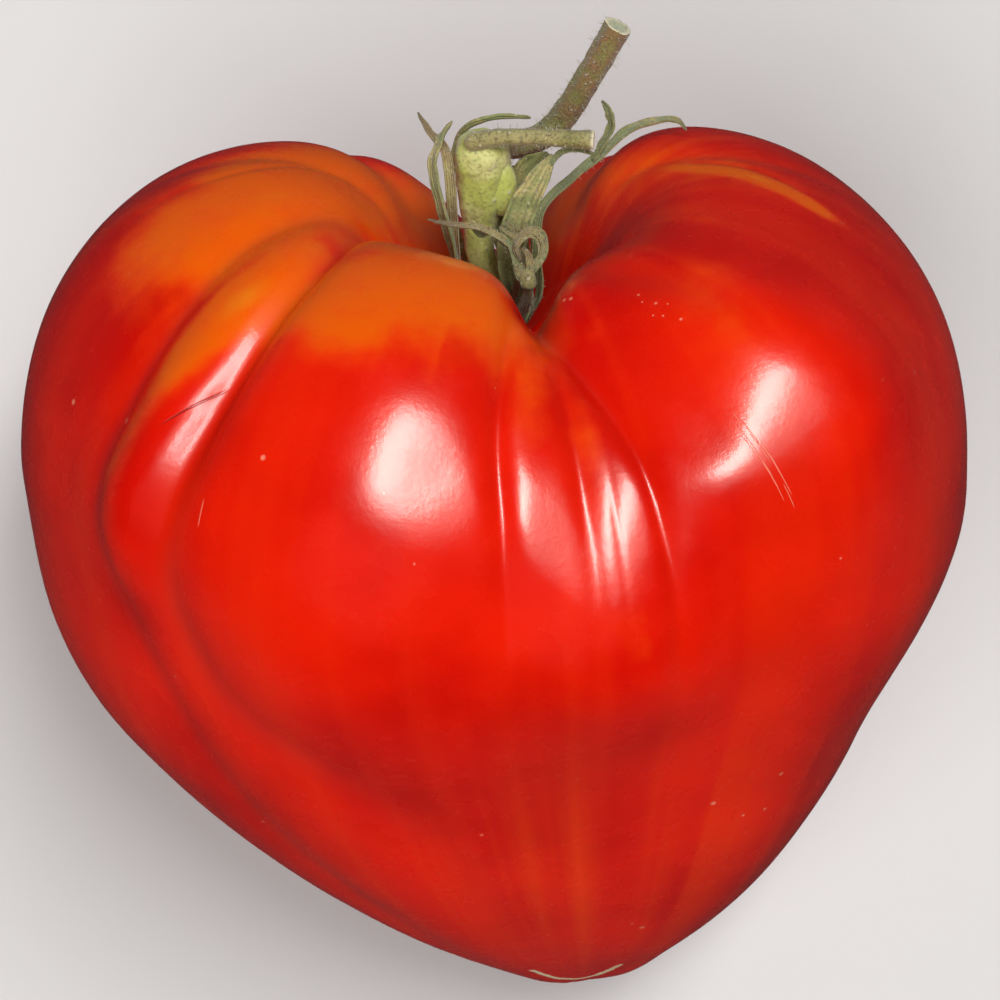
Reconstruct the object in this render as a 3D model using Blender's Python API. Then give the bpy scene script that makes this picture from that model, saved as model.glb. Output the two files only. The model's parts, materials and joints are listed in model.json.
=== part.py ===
"""A ripe oxheart tomato as it was picked: the heart-shaped fruit, its calyx and its cut stalk.

The fruit lies on its back on a small flat spot, so the side with the deep folds faces straight up. The
stalk points along +Y and a little upwards, and the blossom tip points along -Y. The origin is in the
middle of the flat spot. Blender's unit is the metre and +Z is up; the sizes below are in millimetres.

Run it with: blender --background --python part.py
"""
import math

import bmesh
import bpy
import numpy as np

OBJECT_NAME = "oxheart_tomato"
MM = 0.001

# The fruit's own frame, in millimetres: the blossom tip at the origin, +Z towards the stalk, and the
# side with the deep folds facing -Y. A "way" runs down the skin from 0 in the stalk's hollow to 1 at the
# tip. A bearing is in degrees round the fruit from -Y, and is positive towards +X.

# How the fruit lies: the stalk's end is tilted up, and the tip's frame is moved to its place
STALK_TILT = 25.0
TIP_PLACE = (-0.4, -52.4, 18.3)

# The skin from the hollow to the tip: share of the belly's radius, height
MERIDIAN = (
    (0.00, 80.0),
    (0.07, 80.0),
    (0.13, 82.0),
    (0.20, 90.0),
    (0.29, 99.0),
    (0.48, 102.5),
    (0.76, 98.0),
    (0.96, 86.0),
    (1.03, 70.0),
    (0.99, 52.0),
    (0.83, 34.0),
    (0.59, 17.5),
    (0.35, 6.0),
    (0.15, -1.8),
    (0.00, -3.4),
)
BELLY_HEIGHT = 69.0
SHOULDER_HEIGHT = 98.0

# Round the fruit: bearing, belly radius, lift of the shoulder, slimness of the flank below the belly
STATIONS = (
    (-180, 46.5, -11.0, 0.03),
    (-135, 50.3, -3.0, 0.00),
    (-90, 54.2, 0.3, -0.07),
    (-55, 51.0, -1.0, -0.04),
    (-22, 50.0, -1.0, 0.02),
    (15, 45.0, -3.0, 0.03),
    (48, 51.5, -1.5, 0.08),
    (90, 53.2, 0.7, 0.12),
    (135, 50.8, -0.5, 0.07),
)
# The tip bends this far towards +X
TIP_LEAN = 9.0

# Furrows: points of way, bearing, depth and half width
FURROWS = {
    "cleft at the back": (
        (0.12, 180, 1.5, 8), (0.20, 180, 5, 8), (0.30, 180, 8, 7.5), (0.40, 180, 8, 7), (0.48, 178, 5, 7),
        (0.56, 177, 2, 6), (0.64, 176, 0, 6)),
    "notch at the front": (
        (0.12, 14, 3, 2.6), (0.20, 14, 8, 2.6), (0.28, 13, 9, 2.7), (0.34, 10, 5, 2.8), (0.40, 9, 1.5, 2.8)),
    "left of the centre ribs": (
        (0.34, 6, 0.9, 1.8), (0.40, 2, 1.2, 1.8), (0.46, -0.5, 1.0, 1.8), (0.52, 0.2, 0.8, 1.8),
        (0.58, 1.0, 0.3, 2.2), (0.66, 1.5, 0, 3)),
    "between the centre ribs": (
        (0.38, 9, 0.2, 1.6), (0.43, 10.5, 0.5, 1.6), (0.48, 11.2, 0.5, 1.6), (0.53, 11.6, 0.35, 1.6),
        (0.60, 12, 0, 2)),
    "right of the centre ribs": (
        (0.35, 11, 1.6, 2.8), (0.40, 13, 2.0, 2.4), (0.46, 18.5, 1.3, 1.8), (0.50, 20.7, 0.8, 1.4),
        (0.55, 21.3, 0.5, 1.4), (0.60, 21.5, 0.2, 2), (0.66, 21.5, 0, 3)),
    "soft valley of the right lobe": (
        (0.38, 24, 0.2, 4.5), (0.43, 28, 0.3, 4.5), (0.48, 30, 0.25, 4.5), (0.53, 31, 0.2, 4.8),
        (0.60, 31, 0, 5)),
    "fold on the right shoulder": (
        (0.30, 20, 0.2, 3), (0.35, 31, 0.5, 3.3), (0.38, 38, 0.6, 3.5), (0.41, 40.5, 0.5, 3.8),
        (0.46, 42, 0, 4)),
    "between the left lobe and the rib": (
        (0.26, -78, 0.6, 3), (0.34, -66, 1.1, 3.2), (0.40, -61, 1.3, 3.5), (0.46, -57.5, 1.4, 4),
        (0.53, -54.5, 1.3, 4.5), (0.60, -52, 1.1, 5), (0.66, -47, 1.0, 5.5), (0.72, -43, 0.9, 6),
        (0.80, -36, 0.6, 6), (0.92, -30, 0, 6)),
    "between the rib and the front lobe": (
        (0.24, -85, 1.0, 2.6), (0.30, -62, 1.8, 2.8), (0.36, -46.5, 2.5, 2.8), (0.42, -41.8, 2.8, 3.0),
        (0.50, -41.5, 2.9, 3.2), (0.57, -42, 1.8, 5.0), (0.62, -38, 1.5, 7), (0.65, -28, 1.5, 8),
        (0.68, -20, 1.3, 8), (0.74, -13.5, 1.0, 7), (0.82, -10, 0.7, 7), (0.92, -8, 0, 7)),
    "top of the left lobe": (
        (0.26, -112, 0.3, 2), (0.32, -103, 0.4, 2.4), (0.38, -99, 0.35, 2.7), (0.45, -96, 0, 3)),
    "top of the right lobe": (
        (0.28, 118, 0.4, 2), (0.33, 107, 0.5, 2.4), (0.38, 100, 0.4, 2.7), (0.44, 96, 0, 3)),
    "back left": (
        (0.28, -140, 1.5, 4), (0.38, -138, 2.2, 4.3), (0.50, -136, 1.8, 4.6), (0.60, -136, 0.8, 4.8),
        (0.72, -136, 0, 5)),
    "back right": (
        (0.28, 148, 1.5, 4), (0.38, 146, 2.2, 4.3), (0.50, 142, 1.8, 4.6), (0.60, 140, 0.8, 4.8),
        (0.72, 140, 0, 5)),
}
STEPS_PER_FURROW_POINT = 6

# Swellings of the skin, negative for a dip: way, bearing, radius, height
SWELLINGS = (
    (0.56, -22, 19, 2.2), (0.48, 44, 18, 3.4), (0.58, 72, 18, -0.6), (0.40, -105, 22, 1.2),
    (0.70, 5, 14, -0.5), (0.68, -14, 10, -0.7), (0.43, 14, 13, -3.2), (0.60, 15, 11.5, 3.2),
    (0.545, -48, 9, 4.0), (0.515, -46.5, 6, 1.2), (0.48, -49, 5, 0.8),
    (0.575, 15, 10, 2.4),
    (0.482, 38.6, 8, -0.6), (0.485, 49, 10, 1.5), (0.425, 41, 7, 0.8), (0.503, 34.5, 7, 0.8),
)

# The fruit's mesh: columns round it, closer together on the side with the folds, and rows down it
COLUMNS = 116
ROWS = 46
COLUMNS_DRAWN_TO_THE_FRONT = 0.32

# The calyx: a disc in the hollow, and sepals that grow out of it
DISC_CENTRE = (0.0, 0.0, 82.2)
DISC_RADIUS = 3.4
DISC_HALF_HEIGHT = 1.4
SEPAL_SIDES = 8
SEPAL_RINGS = 18
# Sepals: half width, half thickness, which way the blade faces, then points
SEPALS = {
    "long left": (
        0.75, 0.45, (-0.8, -0.6, 0.2),
        ((-1.2, -0.8, 82.2), (-3.6, -3.0, 86.5), (-5.0, -4.2, 94.0), (-6.2, -5.0, 99.5), (-7.2, -4.2, 104.0),
         (-6.4, -2.6, 106.8), (-5.2, -0.6, 108.2)),
    ),
    "dry stripe": (
        0.65, 0.4, (-0.3, -0.9, 0.2),
        ((-1.0, 0.2, 82.2), (-4.2, -1.0, 87.5), (-5.0, -2.4, 95.0), (-5.3, -3.6, 101.0), (-5.9, -2.6, 105.4),
         (-7.6, 0.4, 106.4), (-9.2, 4.0, 107.6)),
    ),
    "thread across the front": (
        0.45, 0.4, (0.0, -0.7, 0.7),
        ((0.6, -1.0, 82.2), (1.6, -4.2, 88.0), (2.2, -8.2, 94.6), (0.6, -9.2, 97.2), (-2.2, -9.2, 98.8),
         (-5.5, -8.2, 98.8), (-8.1, -7.0, 99.0)),
    ),
    "long right": (
        0.65, 0.45, (-0.3, -0.5, 0.8),
        ((1.3, -0.2, 82.2), (4.4, -2.2, 87.5), (4.3, -3.6, 93.5), (4.6, -1.8, 97.8), (8.1, 2.8, 100.0),
         (11.6, 7.0, 101.4), (14.6, 10.0, 103.1), (18.0, 12.0, 103.6), (20.2, 12.2, 103.6),
         (21.4, 11.0, 102.8)),
    ),
    "broad blade": (
        1.7, 0.42, (-0.1, -0.9, 0.4),
        ((0.8, -0.6, 82.2), (2.2, -3.4, 87.5), (1.3, -4.6, 94.0), (2.4, -4.2, 98.6), (4.2, -3.6, 102.2),
         (6.0, -2.4, 105.0)),
    ),
    "standing curl": (
        0.6, 0.4, (-0.7, -0.5, 0.2),
        ((10.4, 5.4, 100.8), (11.4, 5.8, 102.6), (12.7, 6.0, 105.2), (12.3, 6.0, 107.0), (11.4, 7.0, 108.0)),
    ),
    "thin arch": (
        0.4, 0.38, (0.2, -0.6, 0.7),
        ((5.2, -3.2, 103.4), (6.6, -2.6, 105.0), (8.4, -3.0, 105.6), (10.6, -3.0, 105.0)),
    ),
    "dry curl at the front": (
        0.5, 0.38, (0.3, -0.9, 0.2),
        ((1.2, -0.8, 82.2), (3.4, -4.0, 87.0), (3.0, -7.4, 92.6), (4.6, -8.6, 95.4), (4.5, -8.6, 97.8),
         (2.8, -9.0, 98.4), (1.6, -9.6, 96.6), (2.4, -10.2, 95.0)),
    ),
    "dry end in the notch": (
        0.75, 0.5, (0.2, -0.9, 0.2),
        ((0.9, -1.2, 82.2), (2.0, -5.4, 87.0), (2.8, -8.8, 90.6), (3.0, -10.6, 93.0)),
    ),
    "arch at the back": (
        0.5, 0.4, (0.0, 0.5, 0.8),
        ((-0.6, 1.2, 82.2), (-3.6, 4.6, 88.0), (-5.6, 5.2, 97.0), (-4.4, 4.4, 104.4), (-2.0, 3.6, 106.6),
         (0.8, 3.9, 107.0), (3.6, 4.1, 106.8)),
    ),
    "folded back": (
        1.1, 0.42, (0.3, 0.4, 0.8),
        ((0.8, 1.0, 82.2), (3.4, 4.8, 87.6), (3.6, 8.4, 93.0), (2.4, 12.6, 96.0), (1.4, 17.0, 96.4)),
    ),
}

# The stalk: the swollen knuckle, from points and the radius at each
KNUCKLE_SIDES = 14
KNUCKLE_RINGS = 20
KNUCKLE_POINTS = (
    (-0.2, 0.0, 84.0), (-0.8, 0.0, 87.5), (-2.3, 0.0, 92.6), (-2.3, 0.0, 95.6), (-2.1, 0.0, 98.6),
    (-2.0, 0.0, 101.5), (-2.0, -0.2, 104.4), (-1.9, -0.6, 107.0),
)
KNUCKLE_RADII = (1.9, 1.7, 1.6, 1.9, 2.6, 3.0, 3.1, 2.2)
LUMP_CENTRE = (0.3, -0.9, 100.2)
LUMP_RADII = (1.6, 1.5, 3.2)
STEM_RADIUS = 1.55
STEM_POINTS = (
    (-1.4, 1.0, 104.4), (1.2, 4.6, 103.4), (4.2, 6.8, 103.4), (6.9, 7.2, 105.6), (10.2, 6.2, 111.4),
    (13.2, 5.2, 117.4),
)
BROKEN_STUB_RADIUS = 0.95
BROKEN_STUB_POINTS = ((-3.9, -1.9, 105.9), (-0.4, -2.7, 106.9), (3.3, -3.1, 107.1), (10.6, -4.0, 107.1))
CURVE_STEPS = 5

# Colours in linear light, roughness
FINISHES = {
    "skin": ((0.62, 0.022, 0.004), 0.22),
    "sepal": ((0.20, 0.22, 0.08), 0.75),
    "stem": ((0.27, 0.27, 0.07), 0.6),
}


def clear_scene():
    for thing in list(bpy.data.objects):
        bpy.data.objects.remove(thing, do_unlink=True)


def new_collection(name):
    collection = bpy.data.collections.new(name)
    bpy.context.scene.collection.children.link(collection)
    return collection


def finish(name):
    """A Principled material with the colour and the roughness of one of the tomato's surfaces."""
    colour, roughness = FINISHES[name]
    material = bpy.data.materials.new(name)
    material.use_nodes = True
    shader = material.node_tree.nodes["Principled BSDF"]
    shader.inputs["Base Color"].default_value = (*colour, 1.0)
    shader.inputs["Roughness"].default_value = roughness
    shader.inputs["Metallic"].default_value = 0.0
    material.diffuse_color = (*colour, 1.0)
    return material


def with_mirrored_ends(points):
    points = np.asarray(points, float)
    return np.vstack([2 * points[0] - points[1], points, 2 * points[-1] - points[-2]])


def spans(points, share):
    """The four neighbouring points and the place between the middle two, for a share of the whole line."""
    padded = with_mirrored_ends(points)
    count = len(padded) - 3
    place = np.clip(np.asarray(share, float), 0, 1) * count
    first = np.minimum(place.astype(int), count - 1)
    return padded[first], padded[first + 1], padded[first + 2], padded[first + 3], (place - first)[..., None]


def smooth_line(points, share):
    """A cubic B-spline, which rounds off its points and still starts and ends on them."""
    a, b, c, d, u = spans(points, share)
    near = (1 - u) ** 3 * a + (3 * u**3 - 6 * u**2 + 4) * b
    far = (3 * u + 3 * u**2 - 3 * u**3 + 1) * c + u**3 * d
    return (near + far) / 6


def line_through(points, share):
    """A Catmull-Rom curve, which passes through its points."""
    a, b, c, d, u = spans(points, share)
    return b + 0.5 * ((c - a) * u + (2 * a - 5 * b + 4 * c - d) * u**2 + (3 * b - a - 3 * c + d) * u**3)


def round_the_fruit(bearing, column):
    """A value of STATIONS at any bearing, read from a smooth closed curve."""
    table = np.array(STATIONS, float)
    keys = np.concatenate([table[-2:, 0] - 360, table[:, 0], table[:3, 0] + 360])
    values = np.concatenate([table[-2:, column], table[:, column], table[:3, column]])
    bearing = (bearing + 180) % 360 - 180
    i = np.searchsorted(keys, bearing, side="right") - 1
    width = keys[i + 1] - keys[i]
    t = (bearing - keys[i]) / width
    slope_in = (values[i + 1] - values[i - 1]) / (keys[i + 1] - keys[i - 1]) * width
    slope_out = (values[i + 2] - values[i]) / (keys[i + 2] - keys[i]) * width
    start = (2 * t**3 - 3 * t**2 + 1) * values[i] + (t**3 - 2 * t**2 + t) * slope_in
    end = (3 * t**2 - 2 * t**3) * values[i + 1] + (t**3 - t**2) * slope_out
    return start + end


def ease(low, high, value):
    t = np.clip((value - low) / (high - low), 0, 1)
    return t * t * (3 - 2 * t)


def section(way, bearing):
    """Distance from the axis and height of the plain skin, without its furrows."""
    share, height = np.moveaxis(smooth_line(MERIDIAN, way), -1, 0)
    slimness = round_the_fruit(bearing, 3) * ease(66, 38, height) * ease(-4, 6, height)
    radius = share * round_the_fruit(bearing, 1) * (1 - slimness)
    lift = round_the_fruit(bearing, 2) * ease(BELLY_HEIGHT, SHOULDER_HEIGHT, height) * ease(0.02, 0.25, way)
    return radius, height + lift


def plain_skin(way, bearing):
    """Points of the skin without its furrows, and the directions that it faces."""
    way, bearing = np.broadcast_arrays(np.asarray(way, float), np.asarray(bearing, float))
    step = 0.001
    radius, height = section(way, bearing)
    radius_before, height_before = section(np.clip(way - step, 0, 1), bearing)
    radius_after, height_after = section(np.clip(way + step, 0, 1), bearing)
    run, rise = radius_after - radius_before, height_after - height_before
    length = np.hypot(run, rise) + 1e-12
    outward, upward = -rise / length, run / length
    angle = np.radians(bearing)
    lean = TIP_LEAN * np.clip(1 - height / BELLY_HEIGHT, 0, None) ** 1.3
    point = np.stack([radius * np.sin(angle) + lean, -radius * np.cos(angle), height], -1)
    facing = np.stack([outward * np.sin(angle), -outward * np.cos(angle), upward], -1)
    return point, facing


def distance_to_line(points, line):
    """Each point's distance to a line of short stretches, and the share of the way along it."""
    nearest = np.full(points.shape[:-1], np.inf)
    along = np.zeros(points.shape[:-1])
    count = len(line) - 1
    for k in range(count):
        stretch = line[k + 1] - line[k]
        t = np.clip((points - line[k]) @ stretch / (stretch @ stretch), 0, 1)
        distance = np.linalg.norm(points - line[k] - t[..., None] * stretch, axis=-1)
        nearer = distance < nearest
        nearest = np.where(nearer, distance, nearest)
        along = np.where(nearer, (k + t) / count, along)
    return nearest, along


def furrow_depth(points, track):
    """How deep one furrow is at each point: sharp at its bottom, and fading out to both sides."""
    share = np.linspace(0, 1, STEPS_PER_FURROW_POINT * len(track))
    way, bearing, depth, half_width = np.moveaxis(line_through(track, share), -1, 0)
    line, _ = plain_skin(way, bearing)
    distance, along = distance_to_line(points, line)
    fading = np.exp(1 - np.sqrt(1 + 4 * (distance / np.interp(along, share, half_width)) ** 2))
    return np.interp(along, share, np.maximum(depth, 0)) * fading


def skin(way, bearing):
    """Points of the fruit's skin with its furrows and swellings."""
    point, facing = plain_skin(way, bearing)
    sink = sum(furrow_depth(point, track) for track in FURROWS.values())
    for swelling_way, swelling_bearing, radius, height in SWELLINGS:
        centre, _ = plain_skin(swelling_way, swelling_bearing)
        distance = np.linalg.norm(point - centre, axis=-1)
        sink = sink - height * np.exp(-((distance / radius) ** 2))
    return point - facing * sink[..., None]


def as_it_lies(points):
    """Points of the fruit's own frame, in millimetres, carried to where the fruit lies, in metres."""
    x, y, z = np.moveaxis(np.asarray(points, float), -1, 0)
    level, upright = math.cos(math.radians(STALK_TILT)), math.sin(math.radians(STALK_TILT))
    turned = np.stack([x, y * upright + z * level, z * upright - y * level], -1)
    return (turned + np.array(TIP_PLACE)) * MM


def new_object(name, mesh_maker, collection):
    mesh = bpy.data.meshes.new(name)
    mesh_maker.to_mesh(mesh)
    mesh_maker.free()
    thing = bpy.data.objects.new(name, mesh)
    collection.objects.link(thing)
    return thing


def sphere_with_places(columns, rows):
    """A sphere primitive, with the angle round it and the share of the way from its top to its foot."""
    ball = bmesh.new()
    bmesh.ops.create_uvsphere(ball, u_segments=columns, v_segments=rows, radius=1.0)
    ball.verts.ensure_lookup_table()
    points = np.array([vertex.co for vertex in ball.verts])
    angle = np.arctan2(points[:, 1], points[:, 0])
    share = np.arccos(np.clip(points[:, 2], -1, 1)) / math.pi
    return ball, angle, share


def move_vertices(mesh_maker, places):
    for vertex, place in zip(mesh_maker.verts, places):
        vertex.co = place
    mesh_maker.normal_update()


def make_fruit(collection):
    """The fruit: a sphere whose points are carried to the skin, pressed flat where the fruit rests."""
    ball, angle, way = sphere_with_places(COLUMNS, ROWS)
    bearing = np.degrees(angle - COLUMNS_DRAWN_TO_THE_FRONT * np.sin(angle))
    places = as_it_lies(skin(way, bearing))
    places[:, 2] = np.maximum(places[:, 2], 0)
    move_vertices(ball, places)
    return new_object("fruit", ball, collection)


def drawn_out(name, points, radii, facing, sides, rings, collection):
    """A round or flat strand: a sphere drawn out along a line, with two half widths at each of its points."""
    ball, angle, share = sphere_with_places(sides, rings)
    path = line_through(points, share)
    step = 0.01
    ahead = line_through(points, share + step) - line_through(points, share - step)
    ahead = ahead / np.linalg.norm(ahead, axis=-1, keepdims=True)
    across = np.cross(ahead, np.array(facing, float))
    across = across / np.linalg.norm(across, axis=-1, keepdims=True)
    outward = np.cross(across, ahead)
    wide, thick = np.moveaxis(line_through(radii, share), -1, 0)
    closing = np.sqrt(np.clip(1 - np.abs(2 * share - 1) ** 8, 0, 1))
    sideways = across * (wide * closing * np.cos(angle))[:, None]
    upwards = outward * (thick * closing * np.sin(angle))[:, None]
    move_vertices(ball, as_it_lies(path + sideways + upwards))
    return new_object(name, ball, collection)


def make_sepal(name, half_width, half_thickness, facing, points, collection):
    """A sepal's blade: slim at its root, widest a third of the way up, and drawn to a narrow tip."""
    outline = (0.7, 0.9, 1.0, 0.95, 0.8, 0.55, 0.35)
    radii = [(max(share * half_width, 0.9 * half_thickness), half_thickness) for share in outline]
    return drawn_out(name, points, radii, facing, SEPAL_SIDES, SEPAL_RINGS, collection)


def make_disc(collection):
    """The calyx's disc, under the stalk, that all the sepals grow from."""
    ball = bmesh.new()
    bmesh.ops.create_uvsphere(ball, u_segments=20, v_segments=10, radius=1.0)
    places = [np.array(DISC_CENTRE) + np.array(vertex.co) * (DISC_RADIUS, DISC_RADIUS, DISC_HALF_HEIGHT)
              for vertex in ball.verts]
    move_vertices(ball, as_it_lies(places))
    return new_object("calyx", ball, collection)


def make_lump(collection):
    """The swelling on the right of the knuckle."""
    ball = bmesh.new()
    bmesh.ops.create_uvsphere(ball, u_segments=12, v_segments=8, radius=1.0)
    places = [np.array(LUMP_CENTRE) + np.array(vertex.co) * LUMP_RADII for vertex in ball.verts]
    move_vertices(ball, as_it_lies(places))
    return new_object("lump", ball, collection)


def make_rod(name, points, radius, collection):
    """A cut or broken piece of stem: a curve with a round section and flat ends, made a mesh."""
    curve = bpy.data.curves.new(name, "CURVE")
    curve.dimensions = "3D"
    curve.bevel_depth = radius * MM
    curve.bevel_resolution = 3
    curve.use_fill_caps = True
    share = np.linspace(0, 1, CURVE_STEPS * (len(points) - 1) + 1)
    places = as_it_lies(line_through(points, share))
    spline = curve.splines.new("POLY")
    spline.points.add(len(places) - 1)
    for point, place in zip(spline.points, places):
        point.co = (*place, 1.0)
    drawn = bpy.data.objects.new(name, curve)
    collection.objects.link(drawn)
    bpy.context.view_layer.update()
    solid = bpy.data.meshes.new_from_object(drawn.evaluated_get(bpy.context.evaluated_depsgraph_get()))
    solid_maker = bmesh.new()
    solid_maker.from_mesh(solid)
    solid_maker.transform(drawn.matrix_world)
    bmesh.ops.remove_doubles(solid_maker, verts=solid_maker.verts, dist=0.00001)
    bmesh.ops.recalc_face_normals(solid_maker, faces=solid_maker.faces)
    bpy.data.objects.remove(drawn, do_unlink=True)
    return new_object(name, solid_maker, collection)


def join_into(base, pieces_collection):
    """Joins every piece of a collection to the base, for good, and removes the pieces."""
    union = base.modifiers.new("joined", "BOOLEAN")
    union.operation = "UNION"
    union.operand_type = "COLLECTION"
    union.collection = pieces_collection
    union.solver = "EXACT"
    bpy.context.view_layer.update()
    joined = bpy.data.meshes.new_from_object(base.evaluated_get(bpy.context.evaluated_depsgraph_get()))
    base.modifiers.clear()
    base.data = joined
    for piece in list(pieces_collection.objects):
        bpy.data.objects.remove(piece, do_unlink=True)
    bpy.data.collections.remove(pieces_collection)


def smooth_and_paint(thing, finish_name, sharp_angle):
    thing.data.materials.clear()
    thing.data.materials.append(finish(finish_name))
    thing.data.shade_smooth()
    thing.data.set_sharp_from_angle(angle=math.radians(sharp_angle))


def make_calyx(collection):
    """The calyx: the disc and every sepal, joined into one piece."""
    calyx = make_disc(collection)
    blades = new_collection("sepals")
    for name, (half_width, half_thickness, facing, points) in SEPALS.items():
        make_sepal(name, half_width, half_thickness, facing, points, blades)
    join_into(calyx, blades)
    return calyx


def make_stalk(collection):
    """The stalk: the knuckle, with the cut stem and the broken stub that grow from its top."""
    radii = [(radius, radius) for radius in KNUCKLE_RADII]
    stalk = drawn_out("stalk", KNUCKLE_POINTS, radii, (0, -1, 0), KNUCKLE_SIDES, KNUCKLE_RINGS, collection)
    branches = new_collection("branches")
    make_lump(branches)
    make_rod("cut stem", STEM_POINTS, STEM_RADIUS, branches)
    make_rod("broken stub", BROKEN_STUB_POINTS, BROKEN_STUB_RADIUS, branches)
    join_into(stalk, branches)
    return stalk


def main():
    clear_scene()
    tomato = new_collection(OBJECT_NAME)
    smooth_and_paint(make_fruit(tomato), "skin", 60)
    smooth_and_paint(make_calyx(tomato), "sepal", 50)
    smooth_and_paint(make_stalk(tomato), "stem", 50)


main()
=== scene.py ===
# %% [markdown]
# # A ripe oxheart tomato
#
# This lesson dresses a plain solid of a tomato until it looks picked: a fruit with deep folds, a half
# dried calyx and a cut stalk. The solids come packed in a fixed frame, in metres, with the fruit lying on
# its back at the origin. Nothing here moves or resizes them. Each step makes one piece or one finish.

# %% Load the frame that everything is placed in
import json
import math

import bpy
import numpy as np
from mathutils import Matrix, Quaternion, Vector, noise

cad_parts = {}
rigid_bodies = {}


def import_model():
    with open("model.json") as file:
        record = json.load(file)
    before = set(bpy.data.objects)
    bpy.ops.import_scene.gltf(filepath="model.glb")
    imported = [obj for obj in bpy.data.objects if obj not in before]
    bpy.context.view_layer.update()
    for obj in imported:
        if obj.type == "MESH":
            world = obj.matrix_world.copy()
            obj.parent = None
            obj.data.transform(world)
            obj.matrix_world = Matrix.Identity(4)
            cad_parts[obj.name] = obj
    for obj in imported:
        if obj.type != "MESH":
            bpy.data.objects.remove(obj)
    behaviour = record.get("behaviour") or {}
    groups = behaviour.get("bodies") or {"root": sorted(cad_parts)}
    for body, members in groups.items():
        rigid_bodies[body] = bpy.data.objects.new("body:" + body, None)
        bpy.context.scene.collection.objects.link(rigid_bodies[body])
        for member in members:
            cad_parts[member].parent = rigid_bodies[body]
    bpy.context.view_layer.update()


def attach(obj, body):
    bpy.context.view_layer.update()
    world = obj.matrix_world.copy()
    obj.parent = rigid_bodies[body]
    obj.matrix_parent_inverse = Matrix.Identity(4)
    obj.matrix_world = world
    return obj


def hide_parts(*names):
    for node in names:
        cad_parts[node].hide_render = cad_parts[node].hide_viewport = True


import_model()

MM = 0.001

# %% [markdown]
# ## Two coordinates for a skin
#
# A tomato's marks follow its growth: its streaks run from the stalk to the blossom end, and its folds sit
# between its lobes. So a place on this fruit is named by two numbers. "Way" is 0 in the stalk's hollow
# and 1 at the blossom tip. "Bearing" is the angle round the fruit, in degrees, from the side with the
# deep folds. The fruit's own frame has the tip at its origin and +Z towards the stalk. One function then
# tips the whole fruit on its back. The numbers are the ones that shaped the solid, in millimetres, which
# keeps the fine skin exactly where the solid is.

# %% The fruit's own frame, and how it lies
STALK_TILT = 25.0
TIP_PLACE = (-0.4, -52.4, 18.3)


def as_it_lies(points):
    """Points of the fruit's own frame, in millimetres, carried to where the fruit lies, in metres."""
    x, y, z = np.moveaxis(np.asarray(points, float), -1, 0)
    level, upright = math.cos(math.radians(STALK_TILT)), math.sin(math.radians(STALK_TILT))
    turned = np.stack([x, y * upright + z * level, z * upright - y * level], -1)
    return (turned + np.array(TIP_PLACE)) * MM


# %% Two kinds of smooth line
def spans(points, share):
    """The four neighbouring points and the place between the middle two, for a share of the whole line."""
    points = np.asarray(points, float)
    padded = np.vstack([2 * points[0] - points[1], points, 2 * points[-1] - points[-2]])
    count = len(points) - 1
    place = np.clip(np.asarray(share, float), 0, 1) * count
    first = np.minimum(place.astype(int), count - 1)
    return padded[first], padded[first + 1], padded[first + 2], padded[first + 3], (place - first)[..., None]


def smooth_line(points, share):
    """A cubic B-spline, which rounds off its points."""
    a, b, c, d, u = spans(points, share)
    near = (1 - u) ** 3 * a + (3 * u**3 - 6 * u**2 + 4) * b
    far = (3 * u + 3 * u**2 - 3 * u**3 + 1) * c + u**3 * d
    return (near + far) / 6


def line_through(points, share):
    """A Catmull-Rom curve, which passes through its points."""
    a, b, c, d, u = spans(points, share)
    return b + 0.5 * ((c - a) * u + (2 * a - 5 * b + 4 * c - d) * u**2 + (3 * b - a - 3 * c + d) * u**3)


def ease(low, high, value):
    t = np.clip((value - low) / (high - low), 0, 1)
    return t * t * (3 - 2 * t)


# %% [markdown]
# ## The plain skin
#
# Without its folds an oxheart is nearly a turned shape: one curve from the hollow over the shoulder and
# the belly to the tip, swept round the axis. A lathe or Blender's Screw modifier would make that. Here the
# curve also changes a little with the bearing, because one side grew fatter than the other, so the sweep
# is written as a formula: a meridian curve times a belly radius that is read round the fruit.

# %% The meridian, and the stations round the fruit
MERIDIAN = (
    (0.00, 80.0), (0.07, 80.0), (0.13, 82.0), (0.20, 90.0), (0.29, 99.0), (0.48, 102.5), (0.76, 98.0),
    (0.96, 86.0), (1.03, 70.0), (0.99, 52.0), (0.83, 34.0), (0.59, 17.5), (0.35, 6.0), (0.15, -1.8),
    (0.00, -3.4),
)
BELLY_HEIGHT = 69.0
SHOULDER_HEIGHT = 98.0
TIP_LEAN = 9.0
# Bearing, belly radius, lift of the shoulder, slimness of the flank below the belly
STATIONS = (
    (-180, 46.5, -11.0, 0.03), (-135, 50.3, -3.0, 0.00), (-90, 54.2, 0.3, -0.07),
    (-55, 51.0, -1.0, -0.04), (-22, 50.0, -1.0, 0.02), (15, 45.0, -3.0, 0.03), (48, 51.5, -1.5, 0.08),
    (90, 53.2, 0.7, 0.12), (135, 50.8, -0.5, 0.07),
)


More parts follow.
